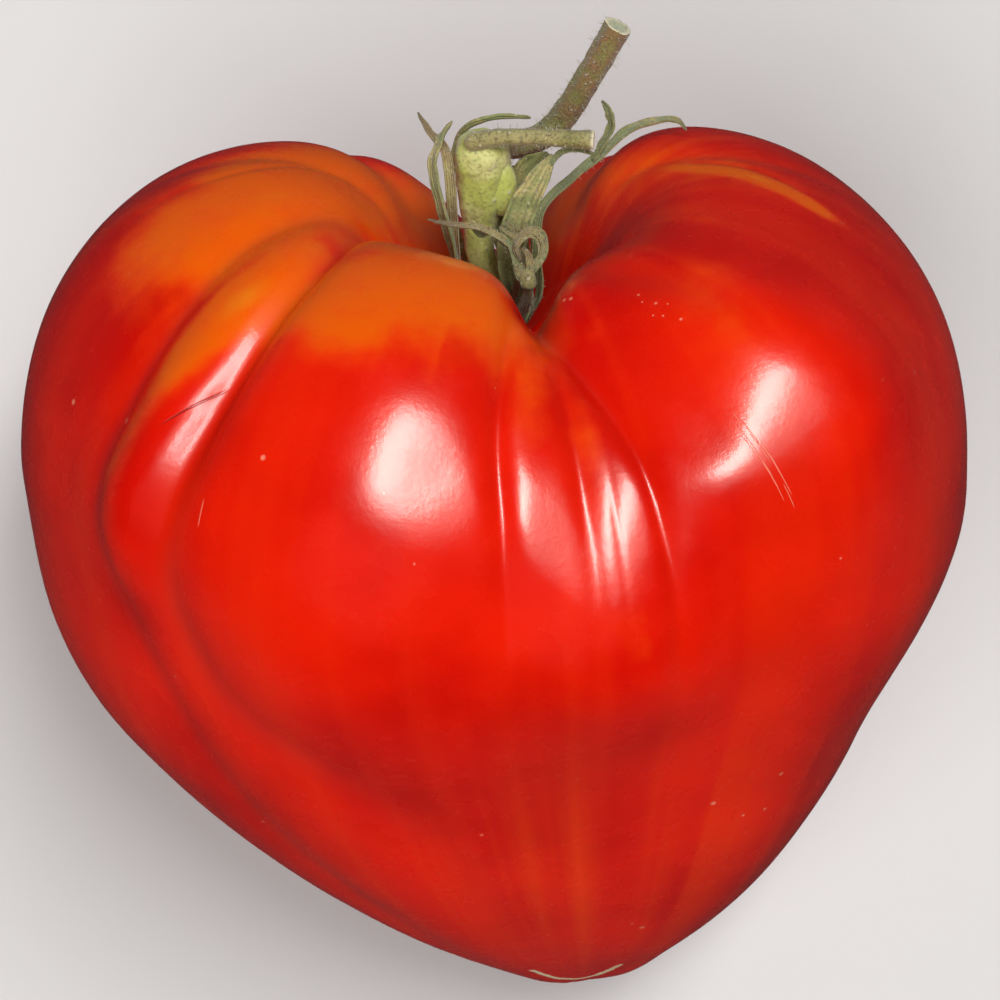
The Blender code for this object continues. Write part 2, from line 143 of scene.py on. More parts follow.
def round_the_fruit(bearing, column):
    """A value of STATIONS at any bearing, read from a smooth closed curve."""
    table = np.array(STATIONS, float)
    keys = np.concatenate([table[-2:, 0] - 360, table[:, 0], table[:3, 0] + 360])
    values = np.concatenate([table[-2:, column], table[:, column], table[:3, column]])
    bearing = (bearing + 180) % 360 - 180
    i = np.searchsorted(keys, bearing, side="right") - 1
    width = keys[i + 1] - keys[i]
    t = (bearing - keys[i]) / width
    slope_in = (values[i + 1] - values[i - 1]) / (keys[i + 1] - keys[i - 1]) * width
    slope_out = (values[i + 2] - values[i]) / (keys[i + 2] - keys[i]) * width
    start = (2 * t**3 - 3 * t**2 + 1) * values[i] + (t**3 - 2 * t**2 + t) * slope_in
    end = (3 * t**2 - 2 * t**3) * values[i + 1] + (t**3 - t**2) * slope_out
    return start + end


def section(way, bearing):
    """Distance from the axis and height of the plain skin."""
    share, height = np.moveaxis(smooth_line(MERIDIAN, way), -1, 0)
    slimness = round_the_fruit(bearing, 3) * ease(66, 38, height) * ease(-4, 6, height)
    radius = share * round_the_fruit(bearing, 1) * (1 - slimness)
    lift = round_the_fruit(bearing, 2) * ease(BELLY_HEIGHT, SHOULDER_HEIGHT, height) * ease(0.02, 0.25, way)
    return radius, height + lift


def plain_skin(way, bearing):
    """Points of the skin without its folds, and the directions that it faces."""
    way, bearing = np.broadcast_arrays(np.asarray(way, float), np.asarray(bearing, float))
    step = 0.001
    radius, height = section(way, bearing)
    radius_before, height_before = section(np.clip(way - step, 0, 1), bearing)
    radius_after, height_after = section(np.clip(way + step, 0, 1), bearing)
    run, rise = radius_after - radius_before, height_after - height_before
    length = np.hypot(run, rise) + 1e-12
    outward, upward = -rise / length, run / length
    angle = np.radians(bearing)
    lean = TIP_LEAN * np.clip(1 - height / BELLY_HEIGHT, 0, None) ** 1.3
    point = np.stack([radius * np.sin(angle) + lean, -radius * np.cos(angle), height], -1)
    facing = np.stack([outward * np.sin(angle), -outward * np.cos(angle), upward], -1)
    return point, facing


# %% [markdown]
# ## Folds and swellings
#
# The lobes of an oxheart meet in furrows: sharp near the stalk, where the skin tucks in, and wide and soft
# lower down. Sculpting could draw them, but a sculpt can't be read or corrected later. So each furrow is a
# track over the skin with a depth at each of its points, and the skin sinks by an amount that is sharp at
# the track and dies away to both sides. Broad swellings are round hills added in the same way.

# %% The furrows between the lobes, and the skin's swellings
# Points of way, bearing, depth and half width
FURROWS = {
    "cleft at the back": (
        (0.12, 180, 1.5, 8), (0.20, 180, 5, 8), (0.30, 180, 8, 7.5), (0.40, 180, 8, 7), (0.48, 178, 5, 7),
        (0.56, 177, 2, 6), (0.64, 176, 0, 6)),
    "notch at the front": (
        (0.12, 14, 3, 2.6), (0.20, 14, 8, 2.6), (0.28, 13, 9, 2.7), (0.34, 10, 5, 2.8), (0.40, 9, 1.5, 2.8)),
    "left of the centre ribs": (
        (0.34, 6, 0.9, 1.8), (0.40, 2, 1.2, 1.8), (0.46, -0.5, 1.0, 1.8), (0.52, 0.2, 0.8, 1.8),
        (0.58, 1.0, 0.3, 2.2), (0.66, 1.5, 0, 3)),
    "between the centre ribs": (
        (0.38, 9, 0.2, 1.6), (0.43, 10.5, 0.5, 1.6), (0.48, 11.2, 0.5, 1.6), (0.53, 11.6, 0.35, 1.6),
        (0.60, 12, 0, 2)),
    "right of the centre ribs": (
        (0.35, 11, 1.6, 2.8), (0.40, 13, 2.0, 2.4), (0.46, 18.5, 1.3, 1.8), (0.50, 20.7, 0.8, 1.4),
        (0.55, 21.3, 0.5, 1.4), (0.60, 21.5, 0.2, 2), (0.66, 21.5, 0, 3)),
    "soft valley of the right lobe": (
        (0.38, 24, 0.2, 4.5), (0.43, 28, 0.3, 4.5), (0.48, 30, 0.25, 4.5), (0.53, 31, 0.2, 4.8),
        (0.60, 31, 0, 5)),
    "fold on the right shoulder": (
        (0.30, 20, 0.2, 3), (0.35, 31, 0.5, 3.3), (0.38, 38, 0.6, 3.5), (0.41, 40.5, 0.5, 3.8),
        (0.46, 42, 0, 4)),
    "between the left lobe and the rib": (
        (0.26, -78, 0.6, 3), (0.34, -66, 1.1, 3.2), (0.40, -61, 1.3, 3.5), (0.46, -57.5, 1.4, 4),
        (0.53, -54.5, 1.3, 4.5), (0.60, -52, 1.1, 5), (0.66, -47, 1.0, 5.5), (0.72, -43, 0.9, 6),
        (0.80, -36, 0.6, 6), (0.92, -30, 0, 6)),
    "between the rib and the front lobe": (
        (0.24, -85, 1.0, 2.6), (0.30, -62, 1.8, 2.8), (0.36, -46.5, 2.5, 2.8), (0.42, -41.8, 2.8, 3.0),
        (0.50, -41.5, 2.9, 3.2), (0.57, -42, 1.8, 5.0), (0.62, -38, 1.5, 7), (0.65, -28, 1.5, 8),
        (0.68, -20, 1.3, 8), (0.74, -13.5, 1.0, 7), (0.82, -10, 0.7, 7), (0.92, -8, 0, 7)),
    "top of the left lobe": (
        (0.26, -112, 0.3, 2), (0.32, -103, 0.4, 2.4), (0.38, -99, 0.35, 2.7), (0.45, -96, 0, 3)),
    "top of the right lobe": (
        (0.28, 118, 0.4, 2), (0.33, 107, 0.5, 2.4), (0.38, 100, 0.4, 2.7), (0.44, 96, 0, 3)),
    "back left": (
        (0.28, -140, 1.5, 4), (0.38, -138, 2.2, 4.3), (0.50, -136, 1.8, 4.6), (0.60, -136, 0.8, 4.8),
        (0.72, -136, 0, 5)),
    "back right": (
        (0.28, 148, 1.5, 4), (0.38, 146, 2.2, 4.3), (0.50, 142, 1.8, 4.6), (0.60, 140, 0.8, 4.8),
        (0.72, 140, 0, 5)),
}
# Way, bearing, radius and height, which is negative for a dip
SWELLINGS = (
    (0.56, -22, 19, 2.2), (0.48, 44, 18, 3.4), (0.58, 72, 18, -0.6), (0.40, -105, 22, 1.2),
    (0.70, 5, 14, -0.5), (0.68, -14, 10, -0.7), (0.43, 14, 13, -3.2), (0.60, 15, 11.5, 3.2),
    (0.545, -48, 9, 4.0), (0.515, -46.5, 6, 1.2), (0.48, -49, 5, 0.8),
    (0.575, 15, 10, 2.4),
    (0.482, 38.6, 8, -0.6), (0.485, 49, 10, 1.5), (0.425, 41, 7, 0.8), (0.503, 34.5, 7, 0.8),
)
STEPS_PER_POINT = 6


def near_track(points, track):
    """Each point's distance to a track over the plain skin, and the track's further columns beside it."""
    share = np.linspace(0, 1, STEPS_PER_POINT * len(track))
    laid = np.maximum(line_through(track, share), (-np.inf, -np.inf) + (0,) * (len(track[0]) - 2))
    line, _ = plain_skin(laid[:, 0], laid[:, 1])
    nearest = np.full(points.shape[:-1], np.inf)
    along = np.zeros(points.shape[:-1])
    for k in range(len(line) - 1):
        stretch = line[k + 1] - line[k]
        t = np.clip((points - line[k]) @ stretch / (stretch @ stretch), 0, 1)
        distance = np.linalg.norm(points - line[k] - t[..., None] * stretch, axis=-1)
        nearer = distance < nearest
        nearest = np.where(nearer, distance, nearest)
        along = np.where(nearer, (k + t) / (len(line) - 1), along)
    return nearest, *(np.interp(along, share, laid[:, column]) for column in range(2, laid.shape[1]))


def furrow_depth(points, track):
    """How deep one furrow is at each point: sharp at its bottom, and fading out to both sides."""
    distance, depth, half_width = near_track(points, track)
    return depth * np.exp(1 - np.sqrt(1 + 4 * (distance / half_width) ** 2))


def hill(points, way, bearing, radius, height):
    centre, _ = plain_skin(way, bearing)
    return height * np.exp(-((np.linalg.norm(points - centre, axis=-1) / radius) ** 2))


# %% [markdown]
# ## Fine relief
#
# The solid stops at the main folds. A real skin also has creases only half a millimetre wide, long faint
# ridges over its seed walls, and a slightly uneven surface that makes a reflection waver. Two places on
# the lobes are a little lower and one a little fuller, because a highlight's shape shows how the skin
# curves. These are real geometry too, so the mesh needs points about 0.4 mm apart on the side with the
# folds. The points are drawn towards that side, because the back can do with fewer.

# %% Creases, ridges and unevenness, in millimetres
CREASES = {
    "split in the right centre rib": (
        (0.47, 15.8, 0, 0.45), (0.50, 15.5, 0.06, 0.45), (0.53, 15.3, 0.08, 0.45), (0.56, 15.3, 0.04, 0.45),
        (0.59, 15.2, 0, 0.45)),
    "fold across the rib": (
        (0.498, -46.6, 0, 0.6), (0.490, -45.4, 0.1, 0.6), (0.481, -44.0, 0.12, 0.6),
        (0.472, -42.8, 0.1, 0.6), (0.464, -41.8, 0, 0.6)),
    "line over the left lobe": (
        (0.31, -104, 0.1, 0.8), (0.35, -92, 0.16, 0.8), (0.38, -87, 0.16, 0.8), (0.42, -85, 0.1, 0.9),
        (0.46, -84, 0, 0.9)),
    "line over the right lobe": (
        (0.32, 104, 0, 0.6), (0.345, 98, 0.2, 0.6), (0.365, 94, 0.25, 0.65), (0.385, 89, 0.2, 0.7),
        (0.40, 86, 0, 0.7)),
    "crease inside the notch": (
        (0.26, 20, 0.5, 0.7), (0.32, 17, 0.5, 0.7), (0.37, 14.5, 0.3, 0.7), (0.42, 15.5, 0, 0.7)),
}
# Way, bearing, radius and height of the lower and fuller places
GENTLE_FORMS = ((0.489, 38.6, 7.5, -0.9), (0.506, 30.2, 4.5, 0.5), (0.488, -9.0, 7.5, -0.7))
RIDGE_HEIGHT = 0.05
RIDGES_ROUND = 7.0
RIDGES_ALONG = 1.5
WAVE_LENGTH = 13.0
WAVE_HEIGHT = 0.10
RIPPLE_LENGTH = 4.5
RIPPLE_HEIGHT = 0.022


def uneven(points, length):
    """Smooth noise of about that wave length, from -1 to 1."""
    flat = points.reshape(-1, 3) / length
    return np.array([noise.noise(Vector(place)) for place in flat]).reshape(points.shape[:-1])


def growth_place(way, bearing):
    """A place that changes quickly round the fruit and slowly along it, for whatever runs lengthwise."""
    angle = np.radians(bearing)
    return np.stack([np.sin(angle), np.cos(angle), np.asarray(way, float) + 0 * angle], -1)


def skin(way, bearing, fine=True):
    """Points of the fruit's skin, and how far its furrows sink it."""
    point, facing = plain_skin(way, bearing)
    furrows = sum(furrow_depth(point, track) for track in FURROWS.values())
    rise = sum(hill(point, *swelling) for swelling in SWELLINGS) - furrows
    if fine:
        creases = sum(furrow_depth(point, track) for track in CREASES.values())
        rise = rise + sum(hill(point, *place) for place in GENTLE_FORMS)
        ridges = uneven(growth_place(way, bearing) * (RIDGES_ROUND, RIDGES_ROUND, RIDGES_ALONG), 1.0)
        rise = rise - creases + RIDGE_HEIGHT * ridges * ease(0.3, 0.5, way)
        rise = rise + WAVE_HEIGHT * uneven(point, WAVE_LENGTH) + RIPPLE_HEIGHT * uneven(point, RIPPLE_LENGTH)
        furrows = furrows + 2 * creases
    return point + facing * rise[..., None], furrows


# %% [markdown]
# ## From rings of points to a mesh
#
# Every grown piece here is a stack of rings: the fruit, each sepal and each length of stalk. One helper
# turns rings into a closed mesh, with a single point at each end. It measures the volume that it made,
# and turns the faces round if that comes out negative, so that every piece faces outwards.

# %% A mesh from rings, a piece from a mesh
def closed_mesh(name, rings, first_end, last_end):
    """A closed mesh through rings of points, in metres, with a point at each end."""
    count, sides = rings.shape[:2]
    points = np.vstack([rings.reshape(-1, 3), [first_end], [last_end]])
    number = np.arange(count * sides).reshape(count, sides)
    beside = np.roll(number, -1, axis=1)
    walls = np.stack([number[:-1], number[1:], beside[1:], beside[:-1]], -1).reshape(-1, 4)
    first_fan = [(count * sides, number[0, k], beside[0, k]) for k in range(sides)]
    last_fan = [(count * sides + 1, beside[-1, k], number[-1, k]) for k in range(sides)]
    triangles = np.vstack([walls[:, (0, 1, 2)], walls[:, (0, 2, 3)], first_fan, last_fan])
    corners = points[triangles]
    volume = np.einsum("ij,ij->", corners[:, 0], np.cross(corners[:, 1], corners[:, 2])) / 6
    faces = walls.tolist() + [tuple(int(k) for k in face) for face in first_fan + last_fan]
    if volume < 0:
        faces = [face[::-1] for face in faces]
    mesh = bpy.data.meshes.new(name)
    mesh.from_pydata(points.tolist(), [], faces)
    mesh.shade_smooth()
    return mesh, abs(volume)


def add_piece(name, mesh, material):
    """The mesh as a named piece that rides on the fruit's one body and takes its finish from a slot."""
    piece = bpy.data.objects.new(name, mesh)
    bpy.context.scene.collection.objects.link(piece)
    mesh.materials.append(material)
    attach(piece, "root")
    return piece


def store(mesh, name, values, kind="FLOAT"):
    """Keeps a number or a vector at every point of a mesh, where its material can read it."""
    attribute = mesh.attributes.new(name, kind, "POINT")
    key = "value" if kind == "FLOAT" else "vector"
    attribute.data.foreach_set(key, np.asarray(values, np.float32).ravel())


# %% The skin's mesh
COLUMNS = 480
ROWS = 360
DRAWN_TO_THE_FRONT = 0.5

row_ways = np.linspace(0, 1, ROWS + 1)[:, None]
column_angles = np.linspace(-math.pi, math.pi, COLUMNS, endpoint=False)[None, :]
bearings = np.degrees(column_angles - DRAWN_TO_THE_FRONT * np.sin(column_angles)) + 0 * row_ways
ways = row_ways + 0 * bearings
skin_points, furrow_depths = skin(ways, bearings)
skin_places = as_it_lies(skin_points)
skin_places[..., 2] = np.maximum(skin_places[..., 2], 0)
fruit_mesh, fruit_volume = closed_mesh(
    "fruit_skin", skin_places[1:-1], skin_places[0].mean(axis=0), skin_places[-1].mean(axis=0)
)
print("the fruit's skin:", len(fruit_mesh.polygons), "faces,", round(fruit_volume / MM**3 / 1000, 1), "cm3")


def per_point(grid_values):
    """Values of the grid in the order of the mesh's points: every ring, then the two ends."""
    grid_values = np.asarray(grid_values, float)
    inner = grid_values[1:-1].reshape(-1, *grid_values.shape[2:])
    return np.concatenate([inner, grid_values[:1, 0], grid_values[-1:, 0]])


# %% [markdown]
# ## Where the fruit is orange
#
# This tomato ripened unevenly: its shoulders are still orange, with a ragged edge to the red, and pale
# streaks run down from them. A painted image could show that, but the part has no images. So the mesh
# keeps a number at each point that says how unripe the skin is there, drawn with the same kind of tracks
# as the furrows. The material breaks up its edge with noise, which is finer than the mesh.

# %% Unripe bands, scar and streaks as numbers on the mesh
# Half width, then points of way, bearing and strength
UNRIPE_BANDS = (
    (8.5, ((0.40, -37, 0.8), (0.395, -30, 1.0), (0.385, -20, 1.0), (0.38, -10, 1.0), (0.39, -2, 0.7))),
    (9.0, ((0.30, -30, 0.9), (0.32, -12, 0.9), (0.34, 0, 0.4))),
    (11.0, ((0.395, -70, 0.9), (0.365, -73, 1.0), (0.335, -85, 1.0), (0.30, -105, 0.9), (0.28, -130, 0.8))),
    (3.6, ((0.36, -52, 0.7), (0.40, -48.5, 1.1), (0.43, -49, 1.25), (0.46, -50, 0.9), (0.50, -51, 0.5),
           (0.56, -49, 0.25), (0.64, -44, 0))),
    (2.6, ((0.39, 6, 0.4), (0.43, 5, 0.45), (0.47, 4, 0.35), (0.51, 3, 0.25), (0.56, 3, 0))),
    (2.4, ((0.46, 14, 0.3), (0.48, 14, 0.45), (0.53, 15, 0.2), (0.57, 16, 0.3), (0.60, 15, 0))),
    (1.7, ((0.30, 112, 0.3), (0.328, 97, 0.8), (0.355, 90.5, 1.0), (0.375, 86, 1.1), (0.391, 83, 1.0),
           (0.405, 81, 0.9), (0.418, 79.5, 0.3))),
    (8.0, ((0.28, 125, 0.5), (0.33, 104, 0.4), (0.37, 92, 0.3), (0.42, 86, 0.1))),
    (6.5, ((0.33, 62, 0.1), (0.37, 48, 0.22), (0.40, 42, 0.22), (0.46, 34, 0.15), (0.52, 28, 0))),
    (9.0, ((0.30, 150, 0.6), (0.32, 175, 0.8), (0.30, 200, 0.8), (0.29, 215, 0.8))),
)
SCAR_TRACK = (
    (0.862, -15, 0.4), (0.880, -11, 1.0), (0.890, -5, 1.0), (0.896, 4.5, 1.0), (0.891, 15, 1.0),
    (0.878, 21, 1.0), (0.863, 25.5, 0.6),
)
SCAR_HALF_WIDTH = 0.7
STREAKY_PLACE = (0.735, 13.0, 24.0, 1.0)

plain_points, _ = plain_skin(ways, bearings)
unripe = np.zeros(ways.shape)
for half_width, track in UNRIPE_BANDS:
    distance, strength = near_track(plain_points, track)
    unripe = np.maximum(unripe, strength * np.exp(-((distance / half_width) ** 2)))
scar_distance, _ = near_track(plain_points, SCAR_TRACK)
store(fruit_mesh, "unripe", per_point(unripe))
store(fruit_mesh, "furrow", per_point(furrow_depths))
store(fruit_mesh, "scar", per_point(np.exp(-((scar_distance / SCAR_HALF_WIDTH) ** 2))))
store(fruit_mesh, "streaky", per_point(hill(plain_points, *STREAKY_PLACE)))
store(fruit_mesh, "growth", per_point(growth_place(ways, bearings)), "FLOAT_VECTOR")
print("unripe skin: %.0f percent of the points" % (100 * (unripe > 0.5).mean()))

# %% [markdown]
# ## Small helpers for materials
#
# Blender draws a material as nodes joined by links. Built by hand in the editor they are quick to try,
# but a script can't be clicked. These helpers keep each line of the material readable: one adds a node
# with its settings, the others do arithmetic, mix two colours, or spread a range of numbers.

# %% Node helpers
class Finish:
    """A Principled material, and short ways to add nodes to it."""

    def __init__(self, name, **settings):
        self.material = bpy.data.materials.new(name)
        self.material.use_nodes = True
        self.nodes = self.material.node_tree.nodes
        self.links = self.material.node_tree.links
        self.shader = self.nodes["Principled BSDF"]
        self.place = self.add("ShaderNodeTexCoord").outputs["Object"]
        for socket, value in settings.items():
            self.shader.inputs[socket.replace("_", " ")].default_value = value

    def add(self, kind, **settings):
        node = self.nodes.new(kind)
        for key, value in settings.items():
            setattr(node, key, value)
        return node

    def join(self, value, socket):
        """Links an output to a socket, or sets the socket to a plain value."""
        if isinstance(value, bpy.types.NodeSocket):
            self.links.new(value, socket)
        else:
            socket.default_value = value

    def filled(self, kind, values, **settings):
        """A node with its first sockets joined to the values."""
        node = self.add(kind, **settings)
        for value, socket in zip(values, node.inputs):
            self.join(value, socket)
        return node

    def kept(self, name, vector=False):
        """A number or vector that the mesh keeps at its points."""
        return self.add("ShaderNodeAttribute", attribute_name=name).outputs["Vector" if vector else "Fac"]

    def number(self, operation, *values):
        return self.filled("ShaderNodeMath", values, operation=operation).outputs[0]

    def vector(self, operation, *values, result="Vector"):
        return self.filled("ShaderNodeVectorMath", values, operation=operation).outputs[result]

    def spread(self, value, low, high, to_low=0.0, to_high=1.0, smooth=True):
        """The value's range from low to high, spread to another range."""
        kind = "SMOOTHSTEP" if smooth else "LINEAR"
        values = (value, low, high, to_low, to_high)
        return self.filled("ShaderNodeMapRange", values, interpolation_type=kind).outputs[0]

    def mix(self, share, first, second, blend="MIX"):
        node = self.add("ShaderNodeMix", data_type="RGBA", blend_type=blend)
        self.join(share, node.inputs["Factor"])
        for colour, socket in ((first, node.inputs[6]), (second, node.inputs[7])):
            self.join(colour if isinstance(colour, bpy.types.NodeSocket) else (*colour, 1.0), socket)
        return node.outputs[2]

    def noise(self, per_mm, detail=2.0, place=None, roughness=0.5):
        """Noise with that many cells a millimetre, from 0 to 1."""
        node = self.add("ShaderNodeTexNoise")
        self.links.new(place or self.place, node.inputs["Vector"])
        node.inputs["Scale"].default_value = per_mm / MM if place is None else per_mm
        node.inputs["Detail"].default_value = detail
        node.inputs["Roughness"].default_value = roughness
        return node.outputs["Fac"]

    def spots(self, per_mm, randomness=1.0):
        """Distance to the nearest of many scattered points, in cells, and each cell's own colour."""
        node = self.add("ShaderNodeTexVoronoi")
        self.links.new(self.place, node.inputs["Vector"])
        node.inputs["Scale"].default_value = per_mm / MM
        node.inputs["Randomness"].default_value = randomness
        return node.outputs["Distance"], node.outputs["Color"]

    def relief(self, *layers):
        """Bump from pairs of a height from 0 to 1 and the real height in millimetres."""
        normal = None
        for height, tall in layers:
            bump = self.add("ShaderNodeBump")
            bump.inputs["Strength"].default_value = 1.0
            bump.inputs["Distance"].default_value = tall * MM
            self.join(height, bump.inputs["Height"])
            if normal is not None:
                self.links.new(normal, bump.inputs["Normal"])
            normal = bump.outputs["Normal"]
        self.links.new(normal, self.shader.inputs["Normal"])
        return normal

    def line_mark(self, start, end, half_width):
        """1 on a straight hairline over the skin between two places, 0 away from it."""
        start, end = Vector(start), Vector(end)
        ahead = (end - start).normalized()
        middle = (start + end) / 2
        across = ahead.cross(middle - Vector(FRUIT_MIDDLE)).normalized()
        offset = self.vector("SUBTRACT", self.place, tuple(start))
        sideways = self.number("ABSOLUTE", self.vector("DOT_PRODUCT", offset, tuple(across), result="Value"))
        forward = self.vector("DOT_PRODUCT", offset, tuple(ahead), result="Value")
        length = (end - start).length
        mark = self.spread(sideways, half_width * MM, 0.4 * half_width * MM)
        begun = self.spread(forward, 0.0, 0.25 * length)
        ended = self.spread(forward, length, 0.75 * length)
        near = self.spread(self.vector("LENGTH", offset, result="Value"), 1.2 * length, 1.1 * length)
        for limit in (begun, ended, near):
            mark = self.number("MULTIPLY", mark, limit)
        return mark


FRUIT_MIDDLE = tuple(as_it_lies((0.0, 0.0, 60.0)))

# %% [markdown]
# ## The skin
#
# A tomato's skin is a clear wax over coloured flesh. Light goes a few millimetres in and comes back red,
# which subsurface scattering does, and the wax gives a second, sharper reflection over the flesh's soft
# one, which is the coat. The soft reflection is tinted warm, because a neutral one lays a pink veil over
# the red. The colour goes from deep red to orange by the numbers on the mesh. Streaks use the growth
# coordinates, so that they run from end to end and meet at the tip by themselves.

# %% The skin's colours
DEEP_RED = (0.50, 0.002, 0.0004)
RED = (0.70, 0.009, 0.0005)
WARM_RED = (0.78, 0.028, 0.002)
ORANGE_RED = (0.80, 0.05, 0.002)
ORANGE = (0.75, 0.10, 0.001)
YELLOW = (0.74, 0.26, 0.012)
# Painted shade: a darker red laid into the furrows and the fold, over the skin's own deeper red there
FURROW_SHADE_RED = (0.22, 0.0, 0.0006)
PALE_FLECK = (0.85, 0.32, 0.20)
CORK = (0.62, 0.50, 0.30)

skin_finish = Finish(
    "tomato_skin", Roughness=0.34, Subsurface_Weight=0.25, Subsurface_Scale=0.003,
    Subsurface_Radius=(1.0, 0.12, 0.04), Coat_Weight=0.3, Coat_Roughness=0.13, IOR=1.36, Coat_IOR=1.4,
    Specular_Tint=(1.0, 0.74, 0.62, 1.0),
)
f = skin_finish
growth = f.kept("growth", vector=True)
fine_streaks = f.noise(1.0, 3.0, f.vector("MULTIPLY", growth, (11.0, 11.0, 1.0)))
broad_streaks = f.noise(1.0, 2.0, f.vector("MULTIPLY", growth, (9.0, 9.0, 1.2)))
clouds = f.noise(0.035, 3.0)
mottle = f.noise(0.25, 3.0)

colour = f.mix(f.spread(clouds, 0.35, 0.65), DEEP_RED, RED)
colour = f.mix(f.spread(broad_streaks, 0.42, 0.72, 0.0, 0.25), colour, WARM_RED)
streaky = f.number("MULTIPLY", f.kept("streaky"), f.spread(fine_streaks, 0.42, 0.70))
colour = f.mix(f.number("MULTIPLY", streaky, 0.55), colour, ORANGE_RED)

# %% The orange shoulders, with a ragged edge
ragged = f.number("ADD", f.number("MULTIPLY", f.noise(0.11, 4.0, roughness=0.6), 0.75), -0.375)
streaked = f.number("ADD", f.number("MULTIPLY", broad_streaks, 0.5), -0.25)
unripe_here = f.number("ADD", f.kept("unripe"), f.number("ADD", ragged, streaked))
colour = f.mix(f.spread(unripe_here, 0.14, 0.5, 0.0, 0.6), colour, ORANGE_RED)
colour = f.mix(f.spread(unripe_here, 0.32, 0.72), colour, ORANGE)
colour = f.mix(f.spread(unripe_here, 0.98, 1.5, 0.0, 0.8), colour, YELLOW)
colour = f.mix(f.spread(mottle, 0.40, 0.75, 0.0, 0.16), colour, RED)

# %% Painted shade in the furrows, flecks and the corky scar
# Painted shade: the skin gets darker the deeper its furrows and creases are
colour = f.mix(f.spread(f.kept("furrow"), 1.6, 5.0, 0.0, 0.5), colour, FURROW_SHADE_RED)
fleck_distance, fleck_colour = f.spots(0.16)
fleck_size = f.spread(fleck_colour, 0.35, 1.0, 0.0, 0.055, smooth=False)
flecks = f.spread(f.number("SUBTRACT", fleck_distance, fleck_size), 0.012, 0.0)
colour = f.mix(f.number("MULTIPLY", flecks, 0.45), colour, PALE_FLECK)
scar_edge = f.number("ADD", f.kept("scar"), f.number("MULTIPLY", f.noise(0.9, 3.0), 0.9))
scar = f.spread(scar_edge, 1.0, 1.3)
colour = f.mix(scar, colour, CORK)

# %% [markdown]
# ## Single marks
#
# Some marks are one of a kind: a few pale dots, a patch of fine scratches on the right lobe, and a fold
# across the left rib, drawn as a dark line of painted shade. Noise can't put them where they are, and the
# mesh is too coarse for a scratch a tenth of a millimetre wide. So the material measures its distance to
# each dot and line itself, which stays sharp at any size. Each place is read from the finished skin.

# %% Dots, scratches and the fold across the rib
def on_skin(way, bearing):
    """A place on the finished skin, in metres."""
    place, _ = skin(np.array([way]), np.array([bearing]))
    return as_it_lies(place)[0]


# Way, bearing and radius in millimetres
PALE_DOTS = (
    (0.686, 30.8, 0.42), (0.676, 41.3, 0.38), (0.699, 40.8, 0.30), (0.699, 36.8, 0.28), (0.789, 23.8, 0.4),
    (0.512, -66.8, 0.45), (0.495, -30.3, 0.4), (0.385, 31.3, 0.20), (0.392, 30.8, 0.15), (0.397, 32.5, 0.24),
    (0.405, 30.7, 0.15), (0.408, 31.9, 0.18), (0.415, 33.6, 0.24), (0.401, 33.9, 0.14), (0.365, 18.8, 0.3),
    (0.36, 17.6, 0.3),
)
# Where each line starts and ends, by way and bearing, and its half width in millimetres
HAIRLINES = (
    ((0.535, -36.8), (0.52, -36.9), 0.10),
    ((0.472, 33.0), (0.484, 33.6), 0.06), ((0.478, 33.6), (0.492, 34.5), 0.07),
    ((0.480, 32.9), (0.496, 33.9), 0.06), ((0.485, 33.9), (0.503, 35.1), 0.07),
    ((0.487, 33.0), (0.502, 34.0), 0.06), ((0.490, 34.6), (0.508, 35.8), 0.08),
    ((0.493, 33.6), (0.510, 34.9), 0.07), ((0.496, 35.1), (0.514, 36.2), 0.06),
    ((0.500, 34.0), (0.516, 35.3), 0.08), ((0.503, 35.4), (0.520, 36.7), 0.07),
    ((0.508, 34.6), (0.522, 35.7), 0.06), ((0.512, 35.8), (0.526, 36.8), 0.07),
)
FOLD_ACROSS_THE_RIB = ((0.498, -46.6), (0.463, -41.8), 0.15)
dots = 0.0
for way, bearing, radius in PALE_DOTS:
    gap = f.vector("DISTANCE", f.place, tuple(on_skin(way, bearing)), result="Value")
    dots = f.number("MAXIMUM", dots, f.spread(gap, radius * MM, 0.35 * radius * MM))
hairlines = 0.0
for start, end, half_width in HAIRLINES:
    hairlines = f.number("MAXIMUM", hairlines, f.line_mark(on_skin(*start), on_skin(*end), half_width))
start, end, half_width = FOLD_ACROSS_THE_RIB
fold_line = f.line_mark(on_skin(*start), on_skin(*end), half_width)
colour = f.mix(f.number("MULTIPLY", dots, 0.6), colour, PALE_FLECK)
colour = f.mix(f.number("MULTIPLY", hairlines, 0.45), colour, PALE_FLECK)
# Painted shade: a dark line along the fold across the rib
colour = f.mix(f.number("MULTIPLY", fold_line, 0.8), colour, FURROW_SHADE_RED)
f.links.new(colour, f.shader.inputs["Base Color"])

# %% How the skin shines
dull = f.number("MAXIMUM", f.number("MAXIMUM", scar, fold_line), f.number("MULTIPLY", hairlines, 0.5))
dull = f.number("MAXIMUM", dull, f.spread(f.kept("furrow"), 0.9, 1.6, 0.0, 0.3))
f.join(f.number("ADD", f.spread(mottle, 0.3, 0.7, 0.23, 0.29), f.number("MULTIPLY", dull, 0.4)),
       f.shader.inputs["Roughness"])
grain = f.noise(4.5, 2.0)
cells = f.noise(1.5, 2.0)
pimples = f.noise(0.55, 2.0)
wax_relief = f.relief(
    (grain, 0.006), (cells, 0.011), (pimples, 0.010), (fine_streaks, 0.015),
    (f.number("SUBTRACT", hairlines, f.number("MAXIMUM", dots, fold_line)), 0.03),
)
f.links.new(wax_relief, f.shader.inputs["Coat Normal"])
fruit = add_piece("fruit_skin", fruit_mesh, skin_finish.material)
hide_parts("fruit")
print("skin material:", len(f.nodes), "nodes")

